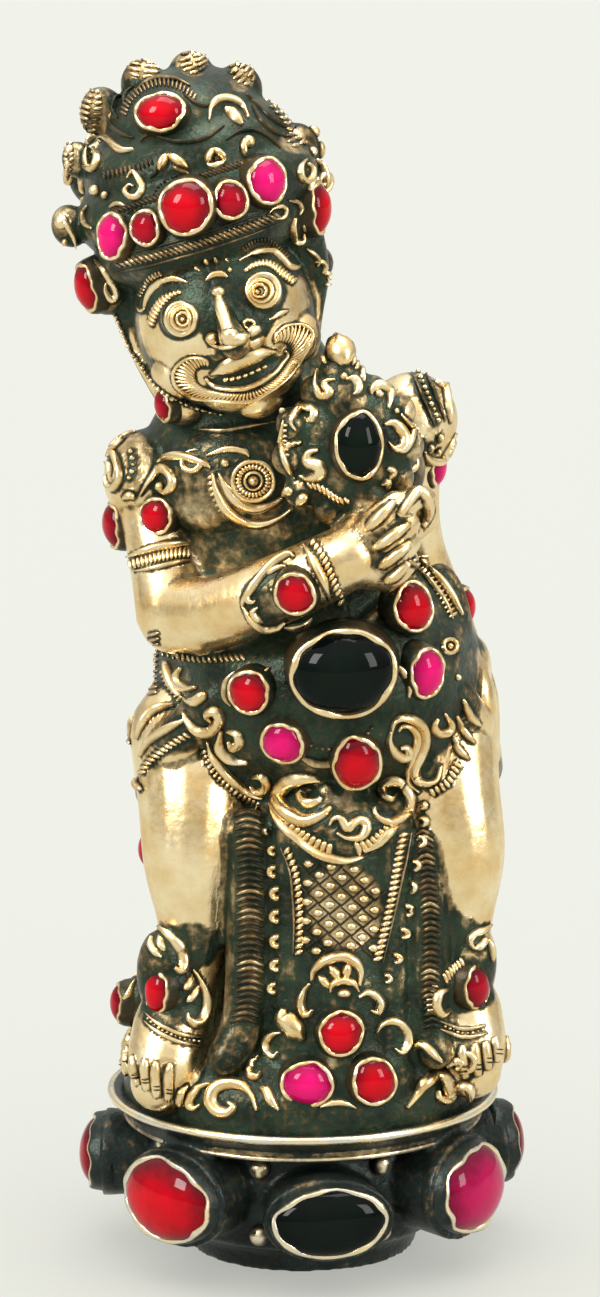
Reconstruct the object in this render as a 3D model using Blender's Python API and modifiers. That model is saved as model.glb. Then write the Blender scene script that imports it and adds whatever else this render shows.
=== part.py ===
"""Hilt in the form of a standing guardian figure, set with cabochon stones, on a jewelled ring.

Places on the figure are read off its front picture as (across, down) in picture pixels, with the distance
in millimetres in front of the upright axis. The front of the figure faces -Y and the axis is X = Y = 0.
"""

import math

import bmesh
import bpy
from mathutils import Matrix, Vector
from mathutils.bvhtree import BVHTree

MM = 0.001

# Driving sizes of the ring, in metres
FLANGE_RADIUS = 13.4 * MM
FLANGE_HEIGHT = 2.4 * MM
RING_HEIGHT = 19.3 * MM
RING_BODY_RADIUS = 17.6 * MM
RIM_RADIUS = 23.4 * MM
RIM_WIRE = 0.55 * MM
COLLAR_RADIUS = 21.2 * MM
COLLAR_HEIGHT = 3.7 * MM
DISH_DEPTH = 0.9 * MM
DISH_CLEARANCE = 0.5 * MM
CUP_REACH = 23.5 * MM
CUP_ROOT = 15.0 * MM
CUP_WALL = 0.7 * MM
GRANULE_RADIUS = 1.25 * MM

# Driving sizes of the figure, in metres
FIGURE_HEIGHT = 125.0 * MM
FOOT_RADIUS = 20.8 * MM
FOOT_HEIGHT = 2.9 * MM
SEAT_GAP = 0.3 * MM

# Stone settings, in metres
STONE_GAP = 0.3 * MM
COLLAR_WALL = 0.55 * MM
COLLAR_RISE = 1.0 * MM
STONE_DEPTH = 0.7 * MM

# The front picture: its size in pixels, and the eye that it was drawn from
PICTURE_MIDDLE = (300.0, 648.5)
PIXELS_PER_FOCUS = 5930.0
EYE_DISTANCE = 700.0 * MM
EYE_ELEVATION = math.radians(11.5)
EYE_AIM = Vector((-0.3, 0.0, 72.5)) * MM
DRAWN_HEIGHT = 125.0 * MM
DRAWN_FOOT = Vector((0.0, 0.0, 18.6)) * MM
PIXEL = EYE_DISTANCE / PIXELS_PER_FOCUS

# Fineness of the figure's skin
SKIN_VOXEL = 0.62 * MM
SKIN_SHARE = 0.0215

FINE_PLACES = [
    (Vector((-9.0, -19.0, 111.0)) * MM, 10.0),
    (Vector((13.0, -21.0, 85.5)) * MM, 6.0),
]

FIGURE_FOOT = Vector((0.0, 0.0, RING_HEIGHT - DISH_DEPTH + SEAT_GAP))
FIGURE_SCALE = FIGURE_HEIGHT / DRAWN_HEIGHT
FORWARD = Vector((0.0, math.cos(EYE_ELEVATION), -math.sin(EYE_ELEVATION)))
UPWARD = Vector((0.0, math.sin(EYE_ELEVATION), math.cos(EYE_ELEVATION)))
ACROSS = Vector((1.0, 0.0, 0.0))
EYE = EYE_AIM - FORWARD * EYE_DISTANCE


def fitted(point):
    """The drawn figure scaled to its own height, about the middle of its foot."""
    return FIGURE_FOOT + (point - DRAWN_FOOT) * FIGURE_SCALE


def sight(across, down):
    """Direction from the eye through a picture pixel."""
    right = (across - PICTURE_MIDDLE[0]) / PIXELS_PER_FOCUS
    up = (PICTURE_MIDDLE[1] - down) / PIXELS_PER_FOCUS
    return (FORWARD + ACROSS * right + UPWARD * up).normalized()


def spot(across, down, front):
    """The point seen at a pixel, so many millimetres in front of the axis."""
    ray = sight(across, down)
    return fitted(EYE + ray * ((-front * MM - EYE.y) / ray.y))


def facing(turn, lift=0.0):
    """Unit vector pointing out at a turn to the right of the front and a lift above level, in degrees."""
    a = math.radians(turn)
    e = math.radians(lift)
    return Vector((math.sin(a) * math.cos(e), -math.cos(a) * math.cos(e), math.sin(e)))


def frame_along(axis, roll=0.0):
    """Rotation whose Z runs along axis, with its Y as near upright as it can be, rolled in degrees."""
    z = axis.normalized()
    up = Vector((0, 0, 1)) if abs(z.z) < 0.95 else Vector((0, -1, 0))
    x = up.cross(z).normalized()
    turned = Matrix((x, z.cross(x), z)).transposed().to_4x4()
    return turned @ Matrix.Rotation(math.radians(roll), 4, "Z")


# Materials


def metal(name, colour, roughness, metallic=1.0):
    made = bpy.data.materials.new(name)
    made.use_nodes = True
    shader = made.node_tree.nodes["Principled BSDF"]
    shader.inputs["Base Color"].default_value = (*colour, 1.0)
    shader.inputs["Roughness"].default_value = roughness
    shader.inputs["Metallic"].default_value = metallic
    made.diffuse_color = (*colour, 1.0)
    return made


def make_materials():
    return {
        "gilt": metal("gilt metal", (0.62, 0.42, 0.18), 0.3),
        "dark": metal("darkened silver", (0.05, 0.065, 0.06), 0.35),
        "red": metal("red cabochon", (0.62, 0.01, 0.04), 0.08, 0.0),
        "pink": metal("pink cabochon", (0.72, 0.03, 0.22), 0.08, 0.0),
        "wine": metal("dark red cabochon", (0.25, 0.01, 0.02), 0.08, 0.0),
        "black": metal("black cabochon", (0.008, 0.012, 0.011), 0.05, 0.0),
    }


# Building blocks. Each adds one closed body to a bmesh.


def add_ball(mesh, centre, radii, turned=None, segments=20, rings=12):
    """An ellipsoid with radii in millimetres across, deep and high."""
    size = Matrix.Diagonal((*(r * MM * FIGURE_SCALE for r in radii), 1.0))
    place = Matrix.Translation(centre) @ (turned or Matrix()) @ size
    bmesh.ops.create_uvsphere(mesh, u_segments=segments, v_segments=rings, radius=1.0, matrix=place)


def smooth_line(points, steps):
    """Points along a Catmull-Rom curve through number tuples of any length."""
    made = []
    last = len(points) - 1
    for i in range(last):
        a, b, c, d = (points[min(max(k, 0), last)] for k in (i - 1, i, i + 1, i + 2))
        for n in range(steps):
            t = n / steps
            made.append(
                tuple(
                    q + 0.5 * t * (r - p + t * (2 * p - 5 * q + 4 * r - s + t * (3 * (q - r) + s - p)))
                    for p, q, r, s in zip(a, b, c, d)
                )
            )
    made.append(tuple(points[-1]))
    return made


def close_loops(mesh, loops):
    """Skins a row of equal loops of points and caps both ends."""
    rows = [[mesh.verts.new(p) for p in loop] for loop in loops]
    count = len(rows[0])
    for low, high in zip(rows, rows[1:]):
        for k in range(count):
            mesh.faces.new((low[k], low[(k + 1) % count], high[(k + 1) % count], high[k]))
    mesh.faces.new(list(reversed(rows[0])))
    mesh.faces.new(rows[-1])


def add_tube(mesh, line, sides=10):
    """A tube through (point, radius) pairs with rounded ends."""
    places = [p for p, _ in line]
    radii = [r for _, r in line]
    last = len(line) - 1
    loops = []
    for i, (centre, radius) in enumerate(line):
        along = (places[min(i + 1, last)] - places[max(i - 1, 0)]).normalized()
        a = along.cross(Vector((0.3, -1.0, 0.2))).normalized()
        b = a.cross(along).normalized()
        ring = [
            (math.cos(k * math.tau / sides), math.sin(k * math.tau / sides)) for k in range(sides)
        ]
        shifts = [(0.0, 1.0)]
        if i == 0:
            shifts = [(-0.9, 0.35), (-0.6, 0.78), (0.0, 1.0)]
        if i == last:
            shifts = [(0.0, 1.0), (0.6, 0.78), (0.9, 0.35)]
        for shift, share in shifts:
            middle = centre + along * (shift * radii[i])
            loops.append([middle + (a * c + b * s) * (radius * share) for c, s in ring])
    close_loops(mesh, loops)


def add_limb(mesh, points, steps=5, sides=14):
    """A limb through (across, down, front, radius in mm) points."""
    line = [
        (spot(u, v, front), radius * MM * FIGURE_SCALE)
        for u, v, front, radius in smooth_line(points, steps)
    ]
    add_tube(mesh, line, sides)


def add_stack(mesh, sections, steps=4, sides=32, power=2.3):
    """A loft through level sections: (height, middle across, middle deep, half width, half depth) in mm."""
    loops = []
    for z, x, y, half_x, half_y in smooth_line(sections, steps):
        loop = []
        for k in range(sides):
            c = math.cos(k * math.tau / sides)
            s = math.sin(k * math.tau / sides)
            reach = (abs(c) ** power + abs(s) ** power) ** (-1 / power)
            loop.append(fitted(Vector((x + half_x * c * reach, y + half_y * s * reach, z)) * MM))
        loops.append(loop)
    close_loops(mesh, loops)


def skin_of(mesh):
    return BVHTree.FromBMesh(mesh)


def touch(skin, across, down):
    """Where the sight line through a pixel meets the skin, and the skin's normal there."""
    ray = sight(across, down)
    eye = fitted(EYE)
    point, normal, _, _ = skin.ray_cast(eye, ray)
    if point is None:
        point, normal, _, _ = skin.find_nearest(spot(across, down, 0.0))
    return point, normal


# The figure's forms

HEAD = (228.0, 335.0)
HEAD_ROLL = math.radians(17.0)


def head_pixel(side, rise):
    """Picture pixel of a place in the head's own frame: pixels to its side and above the face's middle."""
    c = math.cos(HEAD_ROLL)
    s = math.sin(HEAD_ROLL)
    return HEAD[0] + side * c - rise * s, HEAD[1] - side * s - rise * c


def head_spot(side, rise, front):
    u, v = head_pixel(side, rise)
    return spot(u, v, front)


HEAD_TURN = Matrix.Rotation(-HEAD_ROLL, 4, "Y")


# Turn of each toe from the front, in degrees
TOES = [-75, -66, -57, -48, -39, 42, 51, 60, 69, 78]
TOE_REACH = FOOT_RADIUS / MM - 1.0
TOE_HEIGHT = 23.9


def add_lower_body(mesh):
    # Drum foot, cloth behind the legs, hips
    add_stack(
        mesh,
        [
            (16.0, 0, 0, 21.4, 21.4),
            (22.0, 0.1, 0, 21.5, 21.3),
            (25.0, 0.4, 0.4, 21.0, 20.0),
            (30.0, 0.8, 2.0, 19.3, 17.0),
            (40.0, 1.6, 3.0, 17.6, 14.5),
            (50.0, 2.2, 3.0, 18.0, 14.0),
            (60.0, 2.2, 2.0, 19.6, 15.0),
            (70.0, 1.6, 0.5, 19.1, 16.3),
            (77.0, 0.4, 0.4, 16.8, 14.4),
            (83.0, -1.0, 0.4, 13.4, 11.6),
        ],
        power=2.0,
    )
    # Cloth panel between the legs
    for u, half in ((300, 4.6), (338, 6.2), (378, 4.6)):
        add_limb(mesh, [(u, 830, 12.0, half), (u, 930, 12.6, half), (u, 1060, 14.2, half)])
    # Rolled pleats beside the panel
    add_limb(mesh, [(250, 830, 13.0, 2.6), (248, 930, 14.3, 2.6), (243, 1020, 15.6, 2.5), (226, 1058, 17.6, 2.2)])
    add_limb(mesh, [(424, 850, 12.5, 2.6), (428, 930, 13.6, 2.6), (428, 1020, 14.6, 2.5), (436, 1052, 15.8, 2.2)])
    # Legs
    add_limb(
        mesh,
        [
            (190, 735, 4, 7.2),
            (193, 800, 8, 6.6),
            (191, 862, 10, 5.7),
            (197, 925, 9.6, 4.7),
            (190, 980, 10, 4.3),
            (180, 1030, 11.5, 4.4),
        ],
    )
    add_limb(
        mesh,
        [
            (440, 722, 4, 6.8),
            (447, 790, 8, 6.3),
            (458, 852, 9.6, 5.6),
            (455, 905, 9.2, 4.8),
            (452, 960, 9.6, 4.2),
            (458, 1015, 10.5, 4.4),
        ],
    )
    # Feet
    add_limb(mesh, [(172, 1025, 12, 4.6), (164, 1066, 14.0, 4.6), (160, 1083, 14.6, 3.6)])
    add_limb(mesh, [(463, 1010, 10, 4.6), (470, 1050, 12.0, 4.4), (472, 1070, 12.4, 3.6)])
    for turn in TOES:
        place = facing(turn) * (TOE_REACH * MM) + Vector((0, 0, TOE_HEIGHT * MM))
        add_ball(mesh, fitted(place), (1.35, 2.0, 2.2), Matrix.Rotation(math.radians(turn), 4, "Z"))
    # Leaf shields over the ankles
    add_ball(mesh, spot(160, 975, 13.0), (3.2, 2.2, 5.4), Matrix.Rotation(math.radians(-40), 4, "Z"))
    add_ball(mesh, spot(474, 965, 11.6), (3.2, 2.2, 5.4), Matrix.Rotation(math.radians(44), 4, "Z"))
    # Mound under the three base stones, with its palmette
    add_ball(mesh, spot(342, 1072, 14.0), (9.4, 6.4, 7.4))
    add_ball(mesh, spot(341, 990, 16.6), (4.6, 2.6, 5.0))


def add_trunk(mesh):
    # Belly
    add_ball(mesh, spot(326, 672, 2.0), (18.6, 17.6, 14.4))
    # Chest, shoulders and neck
    add_stack(
        mesh,
        [
            (70.0, 1.0, 0.0, 15.8, 14.6),
            (82.0, -1.2, 0.4, 14.4, 12.4),
            (90.0, -2.4, 0.6, 14.8, 12.0),
            (97.0, -2.4, 0.6, 16.0, 11.6),
            (101.0, -3.0, 0.0, 14.0, 10.2),
            (105.0, -4.6, -1.6, 10.0, 8.4),
            (112.0, -7.0, -3.0, 7.6, 7.6),
        ],
    )
    add_ball(mesh, spot(240, 476, 6.8), (9.8, 5.8, 7.8), HEAD_TURN)
    add_ball(mesh, spot(345, 470, 7.5), (9.4, 5.8, 7.2))
    # Shoulders
    add_ball(mesh, spot(149, 478, 1.5), (5.4, 6.4, 5.8))
    add_ball(mesh, spot(412, 420, 0.5), (5.4, 6.4, 5.6))
    # Cloth bands over the hips and the knot behind
    add_limb(mesh, [(212, 700, 13, 2.4), (178, 742, 10.5, 2.9), (162, 776, 6.0, 2.9), (158, 792, -1, 2.8)])
    add_limb(mesh, [(452, 690, 10, 2.4), (474, 735, 6.0, 2.8), (480, 768, -1.0, 2.8)])
    add_ball(mesh, Vector((1.0, 17.0, 66.0)) * MM, (8.0, 5.0, 9.0))


JEWEL_LEAVES = [
    (316, 392), (292, 424), (288, 458), (300, 490), (330, 508), (372, 392), (400, 412), (408, 446), (398, 478),
]


FINGERS = [
    [(367, 528, 21.2, 1.4), (379, 516, 22.6, 1.55), (396, 502, 21.6, 1.4)],
    [(376, 548, 21.0, 1.4), (391, 536, 22.4, 1.6), (409, 524, 20.8, 1.4)],
    [(381, 567, 20.6, 1.35), (396, 555, 22.0, 1.5), (410, 543, 20.4, 1.35)],
    [(386, 582, 20.0, 1.3), (397, 574, 21.2, 1.4), (409, 561, 19.8, 1.3)],
]
THUMB = [(396, 514, 20.6, 1.35), (410, 500, 20.8, 1.45), (425, 499, 18.8, 1.4), (427, 520, 17.0, 1.4), (410, 532, 18.6, 1.4)]


def add_arms(mesh):
    # Arm at the picture's left, bent across the belly
    add_limb(
        mesh,
        [(150, 480, 2, 4.8), (158, 530, 4.5, 4.2), (164, 570, 7, 4.0), (174, 612, 9.8, 4.6)],
    )
    add_limb(
        mesh,
        [(176, 616, 9.8, 4.6), (215, 612, 14.5, 4.3), (262, 596, 18.0, 4.1), (310, 576, 19.2, 4.0), (350, 556, 19.8, 3.8)],
    )
    # Fist with four curled fingers and a thumb
    add_ball(mesh, spot(372, 550, 19.2), (4.6, 3.4, 4.8), Matrix.Rotation(-0.5, 4, "Y"))
    for line in (*FINGERS, THUMB):
        add_limb(mesh, line, steps=3, sides=8)
    # Arm at the picture's right, its hand on the hip
    add_limb(mesh, [(412, 424, 0.5, 5.2), (405, 480, 0.0, 4.2), (410, 540, -1.5, 3.9), (428, 590, -3.0, 3.8)])
    add_limb(mesh, [(426, 586, -3.0, 3.8), (444, 625, -2.4, 3.5), (462, 672, 0.0, 3.2)])
    add_ball(mesh, spot(470, 668, 1.0), (2.6, 4.0, 4.0))
    for step in range(3):
        add_limb(
            mesh,
            [
                (474 + 2 * step, 668, 4.6 - 3.2 * step, 1.5),
                (482 + 2 * step, 700, 5.4 - 3.4 * step, 1.6),
                (483 + 3 * step, 746, 5.4 - 3.6 * step, 1.4),
            ],
            steps=3,
            sides=8,
        )
    # Jewel held in the fist, with its flame tip
    add_ball(mesh, spot(354, 446, 16.8), (6.6, 3.2, 7.8), Matrix.Rotation(0.12, 4, "Y"))
    for u, v in JEWEL_LEAVES:
        add_ball(mesh, spot(u, v, 16.4), (1.9, 2.3, 2.0))
    add_limb(mesh, [(348, 404, 16.6, 3.6), (341, 376, 16.0, 2.8), (336, 345, 15.0, 1.3)])
    add_limb(mesh, [(362, 490, 16.5, 3.2), (376, 520, 17.5, 2.8)])


def add_head(mesh):
    turn = HEAD_TURN
    # Face, jaw and chin
    add_ball(mesh, head_spot(2, 20, 9.0), (10.4, 11.0, 10.8), turn)
    add_ball(mesh, head_spot(8, -40, 11.6), (6.8, 6.8, 4.6), turn)
    add_ball(mesh, head_spot(11, -68, 13.6), (3.0, 3.0, 2.5), turn)
    # Cheeks, eyes, nostrils and brows
    for side in (-1, 1):
        add_ball(mesh, head_spot(2 + side * 62, -20, 12.8), (3.0, 3.6, 3.2), turn)
        add_ball(mesh, head_spot(2 + side * 43, 30, 17.4), (2.6, 2.4, 2.6), turn)
        add_ball(mesh, head_spot(4 + side * 14, -12, 18.6), (1.6, 1.6, 1.3), turn)
        add_head_line(mesh, [(s * side + 2, t) for s, t in BROW], 17.6, 0.9)
    add_limb(mesh, [(*head_pixel(s, t), front, r) for s, t, front, r in NOSE], steps=3, sides=8)
    for line, radius in MOUTH:
        add_head_line(mesh, line, 19.4, radius)
    # Crown: brow band, bulging drum and upper dome
    add_ball(mesh, head_spot(6, 108, 5.0), (12.8, 13.6, 6.0), turn)
    add_ball(mesh, head_spot(12, 144, 4.0), (14.4, 14.4, 7.4), turn)
    add_ball(mesh, head_spot(14, 180, 3.0), (12.6, 13.4, 7.0), turn)
    add_ball(mesh, head_spot(18, 208, 2.0), (9.6, 11.4, 7.4), turn)
    for u, v, front, radius in CROWN_LOBES:
        add_ball(mesh, spot(u, v, front), (radius, radius, 1.15 * radius), turn)
    for turn_out, height, reach in BACK_LOBES:
        out = facing(turn_out)
        middle = fitted(Vector((-13.5 * MM, 2.0 * MM, height * MM)) + Vector((out.x, out.y, 0)) * (reach * MM))
        add_ball(mesh, middle, (2.9, 2.9, 3.6), turn)
    # Hair and ear pendants beside the face
    for line in EAR_LINES:
        add_limb(mesh, [(*head_pixel(s, t), front, r) for s, t, front, r in line])
    # Hair down the nape
    add_ball(mesh, head_spot(6, -6, -3.0), (9.4, 8.0, 12.0), turn)


# Lines of the face in the head's own pixels, from its middle: (side, rise)
BROW = [(14, 46), (34, 64), (60, 58), (76, 36)]
NOSE = [(1, 36, 18.4, 1.0), (2, 12, 20.4, 1.2), (4, -8, 21.8, 1.8), (4, -14, 21.0, 1.6)]
MOUTH = [
    ([(-43, -29), (-10, -22), (20, -21), (50, -31)], 1.2),
    ([(-40, -36), (-14, -50), (8, -54), (34, -48), (50, -36)], 0.8),
    ([(-58, -30), (-44, -54), (2, -70), (52, -54), (70, -22)], 1.1),
]
EAR_LINES = [
    [(-84, 92, 6.0, 3.0), (-86, 40, 5.5, 1.9), (-84, 0, 6.0, 1.6), (-76, -40, 7.0, 1.5)],
    [(94, 92, 6.0, 3.4), (96, 40, 5.5, 2.5), (84, 0, 6.0, 1.8), (70, -36, 7.0, 1.5)],
]
# Curled lobes of the crown: (across, down, front, radius in mm)
CROWN_LOBES = [
    (103, 112, 2.0, 2.6), (144, 86, 1.0, 2.7), (192, 78, 0.5, 2.8), (240, 88, 0.5, 2.6), (298, 148, 2.0, 2.6),
    (78, 160, 4.0, 1.9), (70, 226, 6.0, 2.2), (312, 178, 2.0, 2.1), (318, 262, 3.0, 1.8),
]
# Lobes round the back: (turn from the front, height, reach) in degrees and mm
BACK_LOBES = [
    (120, 133, 6.5), (180, 135, 9), (240, 133, 6.5), (100, 131, 11), (145, 130, 12), (190, 130, 13),
    (235, 129, 12), (265, 128, 11),
]


def add_head_line(mesh, line, front, radius):
    """A ridge across the face, which falls back to both sides."""
    points = [(*head_pixel(s, t), front - 0.0007 * (s - 4) ** 2, radius) for s, t in line]
    add_limb(mesh, points, steps=3, sides=6)


APRON_MIDDLE = (325, 700)
APRON_EDGE = [
    (170, 655), (176, 690), (196, 742), (224, 788), (262, 812), (300, 846), (342, 866), (382, 848),
    (410, 812), (442, 790), (456, 740), (468, 690), (474, 640), (466, 594), (448, 566), (424, 568),
    (380, 600), (330, 640), (270, 650), (210, 655), (184, 645),
]
APRON_FRONT = 5.0 * MM


def add_plate(mesh, skin, edge, middle, thick, sink, rings=5, steps=3):
    """A raised plate over the skin: star-shaped edge pixels about a middle, with a rounded border."""
    outline = smooth_line(edge + [edge[0]], steps)[:-1]
    count = len(outline)
    top = []
    low = []
    for k in range(1, rings + 1):
        share = k / rings
        rise = thick * math.sqrt(max(0.0, 1 - share**8)) + 0.15 * thick
        top_ring = []
        low_ring = []
        for u, v in outline:
            u_here = middle[0] + (u - middle[0]) * share
            v_here = middle[1] + (v - middle[1]) * share
            point, normal = touch(skin, u_here, v_here)
            if point.y > -APRON_FRONT:
                point = spot(u_here, v_here, APRON_FRONT / MM)
            out = (normal - 1.5 * FORWARD).normalized()
            top_ring.append(mesh.verts.new(point + out * (rise * MM)))
            low_ring.append(mesh.verts.new(point - out * (sink * MM)))
        top.append(top_ring)
        low.append(low_ring)
    point, normal = touch(skin, *middle)
    out = (normal - FORWARD).normalized()
    crown = mesh.verts.new(point + out * (1.15 * thick * MM))
    root = mesh.verts.new(point - out * (sink * MM))
    for k in range(count):
        n = (k + 1) % count
        mesh.faces.new((crown, top[0][n], top[0][k]))
        mesh.faces.new((root, low[0][k], low[0][n]))
        for ring in range(rings - 1):
            mesh.faces.new((top[ring][k], top[ring][n], top[ring + 1][n], top[ring + 1][k]))
            mesh.faces.new((low[ring][n], low[ring][k], low[ring + 1][k], low[ring + 1][n]))
        mesh.faces.new((top[-1][k], top[-1][n], low[-1][n], low[-1][k]))


def figure_forms():
    """All the rounded forms of the figure, as closed bodies in one bmesh."""
    mesh = bmesh.new()
    add_lower_body(mesh)
    add_trunk(mesh)
    add_arms(mesh)
    add_head(mesh)
    return mesh


def object_from(mesh, name, material, collection):
    bmesh.ops.recalc_face_normals(mesh, faces=mesh.faces)
    data = bpy.data.meshes.new(name)
    mesh.to_mesh(data)
    mesh.free()
    data.materials.append(material)
    made = bpy.data.objects.new(name, data)
    collection.objects.link(made)
    return made


def fuse_forms(figure):
    """Fuses the overlapping forms into one smooth skin and fills the hollows left between them."""
    remesh = figure.modifiers.new("skin", "REMESH")
    remesh.mode = "VOXEL"
    remesh.voxel_size = SKIN_VOXEL
    even = figure.modifiers.new("even", "SMOOTH")
    even.factor = 0.5
    even.iterations = 3
    fused = figure.evaluated_get(bpy.context.evaluated_depsgraph_get()).to_mesh()
    mesh = bmesh.new()
    mesh.from_mesh(fused)
    figure.modifiers.clear()
    loose = set(mesh.verts)
    shells = []
    while loose:
        shell = {loose.pop()}
        edge = list(shell)
        while edge:
            found = {e.other_vert(v) for v in edge for e in v.link_edges} & loose
            loose -= found
            shell |= found
            edge = list(found)
        shells.append(shell)
    shells.sort(key=len)
    for shell in shells[:-1]:
        bmesh.ops.delete(mesh, geom=list(shell), context="VERTS")
    mesh.to_mesh(figure.data)
    mesh.free()


def foot_envelope():
    """All that the figure may fill: its plain foot drum in the ring's dish, and the space above it."""
    low = FIGURE_FOOT.z
    foot = FOOT_RADIUS * FIGURE_SCALE
    wide = 2 * foot
    profile = [
        (foot, low),
        (foot, low + FOOT_HEIGHT * FIGURE_SCALE),
        (wide, low + FOOT_HEIGHT * FIGURE_SCALE + 0.3 * MM),
        (wide, low + 2 * FIGURE_HEIGHT),
    ]
    mesh = bmesh.new()
    turns = [k * math.tau / RING_SIDES for k in range(RING_SIDES)]
    close_loops(mesh, [[Vector((r * math.cos(a), r * math.sin(a), z)) for a in turns] for r, z in profile])
    return mesh


def guard_details(figure, thin):
    """Keeps the face, the fist and the feet finer than the rest when the skin is thinned."""
    group = figure.vertex_groups.new(name="coarse")
    for vertex in figure.data.vertices:
        near = min((vertex.co - fitted(place)).length / (reach * MM) for place, reach in FINE_PLACES)
        group.add([vertex.index], 1.0 if near > 1.0 else 0.35, "REPLACE")
    thin.vertex_group = group.name
    thin.vertex_group_factor = 0.06


# Stones and their settings

# name: (colour, across, down, width and height in mm, turn from the front and lift in degrees), and
# for a stone at the figure's edge, where the sight line passes the skin by, the distance in front
STONES = {
    "crown front": ("red", 184, 208, 6.0, 6.5, -9, 6),
    "crown left inner": ("wine", 142, 229, 3.3, 4.0, -24, 4),
    "crown right inner": ("wine", 232, 201, 3.8, 4.1, 10, 6),
    "crown left": ("pink", 106, 237, 4.4, 5.1, -42, 4),
    "crown right": ("pink", 272, 181, 4.6, 5.3, 30, 10),
    "crown left side": ("red", 79, 291, 4.4, 5.6, -60, -10, 8.0),
    "crown right side": ("red", 328, 208, 5.0, 5.8, 70, 4, 8.0),
    "crown top": ("red", 158, 110, 5.6, 4.8, -14, 26),
    "left ear": ("wine", 158, 408, 3.4, 3.6, -62, -8, 9.0),
    "left shoulder": ("red", 152, 518, 4.1, 4.1, -30, 0),
    "left armlet": ("wine", 105, 527, 4.6, 5.4, -72, -4, 3.0),
    "right armlet": ("wine", 452, 430, 4.4, 4.8, 86, 4, 1.0),
    "right arm": ("pink", 444, 470, 3.8, 4.2, 72, -4, 2.0),
    "held jewel": ("black", 361, 447, 5.2, 7.9, 8, 6),
    "left bracelet": ("red", 294, 597, 4.5, 4.7, -6, -4),
    "right bracelet": ("red", 473, 607, 4.2, 4.4, 74, 4, 0.0),
    "belly": ("black", 345, 678, 12.0, 10.8, 4, 0),
    "belly upper right": ("red", 418, 608, 4.8, 5.8, 28, 8, 17.8),
    "belly right": ("pink", 433, 675, 4.9, 5.6, 38, 0),
    "belly left": ("red", 245, 695, 5.0, 5.0, -26, -2),
    "belly lower left": ("pink", 280, 748, 4.8, 5.0, -16, -14),
    "belly lower": ("red", 358, 769, 5.6, 7.0, 6, -16),
    "base upper": ("red", 342, 1035, 5.0, 5.0, 4, 10),
    "base left": ("pink", 307, 1087, 5.8, 5.6, -3, 2),
    "base right": ("red", 377, 1084, 5.2, 5.4, 16, 4),
    "left ankle": ("red", 151, 994, 3.8, 5.0, -46, 2, 15.4),
    "left rear ankle": ("wine", 112, 1003, 4.0, 4.8, -82, 2, 2.0),
    "right ankle": ("wine", 483, 989, 4.2, 5.2, 50, 2, 14.4),
    "right rear ankle": ("wine", 494, 1020, 4.0, 4.8, 84, 2, 2.0),
    "left hip": ("wine", 140, 850, 3.8, 4.4, -84, 0, 0.0),
}
# Stones that the picture doesn't show: (colour, turn, height, width, height of stone, lift)
REAR_STONES = {
    "crown rear": ("red", 182, 123, 5.4, 5.8, 4),
    "back": ("black", 180, 66, 8.0, 7.0, 0),
}
DOME_SHARE = 0.34


def oval(width, height, count):
    return [
        (0.5 * width * math.cos(k * math.tau / count), 0.5 * height * math.sin(k * math.tau / count))
        for k in range(count)
    ]


def add_turned(mesh, rings, place):
    """Skins rings of (x, y, z) in a setting's own frame, whose Z points out of the stone."""
    close_loops(mesh, [[place @ Vector(p) for p in ring] for ring in rings])


def sides_for(width):
    return 8 if width < 5.4 * MM else (10 if width < 8 * MM else 14)


def cabochon_rings(width, height, depth, dome):
    """Rings of a domed stone with an upright girdle: z = 0 is where the dome starts."""
    count = sides_for(width)
    steps = [(1.0, -depth), (1.0, 0.0), (0.62, 0.8 * dome)]
    if count > 8:
        steps[2:] = [(0.82, 0.58 * dome), (0.4, 0.93 * dome)]
    return [[(x * k, y * k, z) for x, y in oval(width, height, count)] for k, z in steps]


def add_setting(bodies, collars, pockets, name, colour, place, width, height, root):
    """A stone, the collar that holds it and the pocket that it lies in."""
    dome = DOME_SHARE * (width + height) * 0.5 + 0.3 * MM
    stone = bmesh.new()
    add_turned(stone, cabochon_rings(width, height, STONE_DEPTH, dome), place)
    bodies.append((name, colour, stone))
    count = sides_for(width)
    pocket = [(x, y) for x, y in oval(width + 2 * STONE_GAP, height + 2 * STONE_GAP, count)]
    wide = 2 * (STONE_GAP + COLLAR_WALL)
    rim = oval(width + wide, height + wide, count)
    foot = oval(width + wide + 0.5 * MM, height + wide + 0.5 * MM, count)
    floor = -STONE_DEPTH - STONE_GAP
    top = 0.3 * dome
    add_turned(collars, [[(x, y, floor - root) for x, y in foot], [(x, y, top) for x, y in rim]], place)
    add_turned(
        pockets, [[(x, y, floor) for x, y in pocket], [(x, y, top + 3 * MM) for x, y in pocket]], place
    )


def seat_on(skin, across, down, out, width, height, front=None):
    """Where a stone's girdle stands, so that its dome is seen at the pixel and it stands on the skin."""
    lift = COLLAR_RISE * 0.5
    reach = lift + 0.4 * DOME_SHARE * (width + height)
    if front is not None:
        return spot(across, down, front) - out * (reach - lift)
    ray = sight(across, down)
    eye = fitted(EYE)
    first = skin.ray_cast(eye, ray)[0] or spot(across, down, 2.0)
    shift = out * reach - ray * out.dot(ray) * reach
    second = skin.ray_cast(eye, (first - shift - eye).normalized())[0] or first
    return second + out * lift


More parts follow.
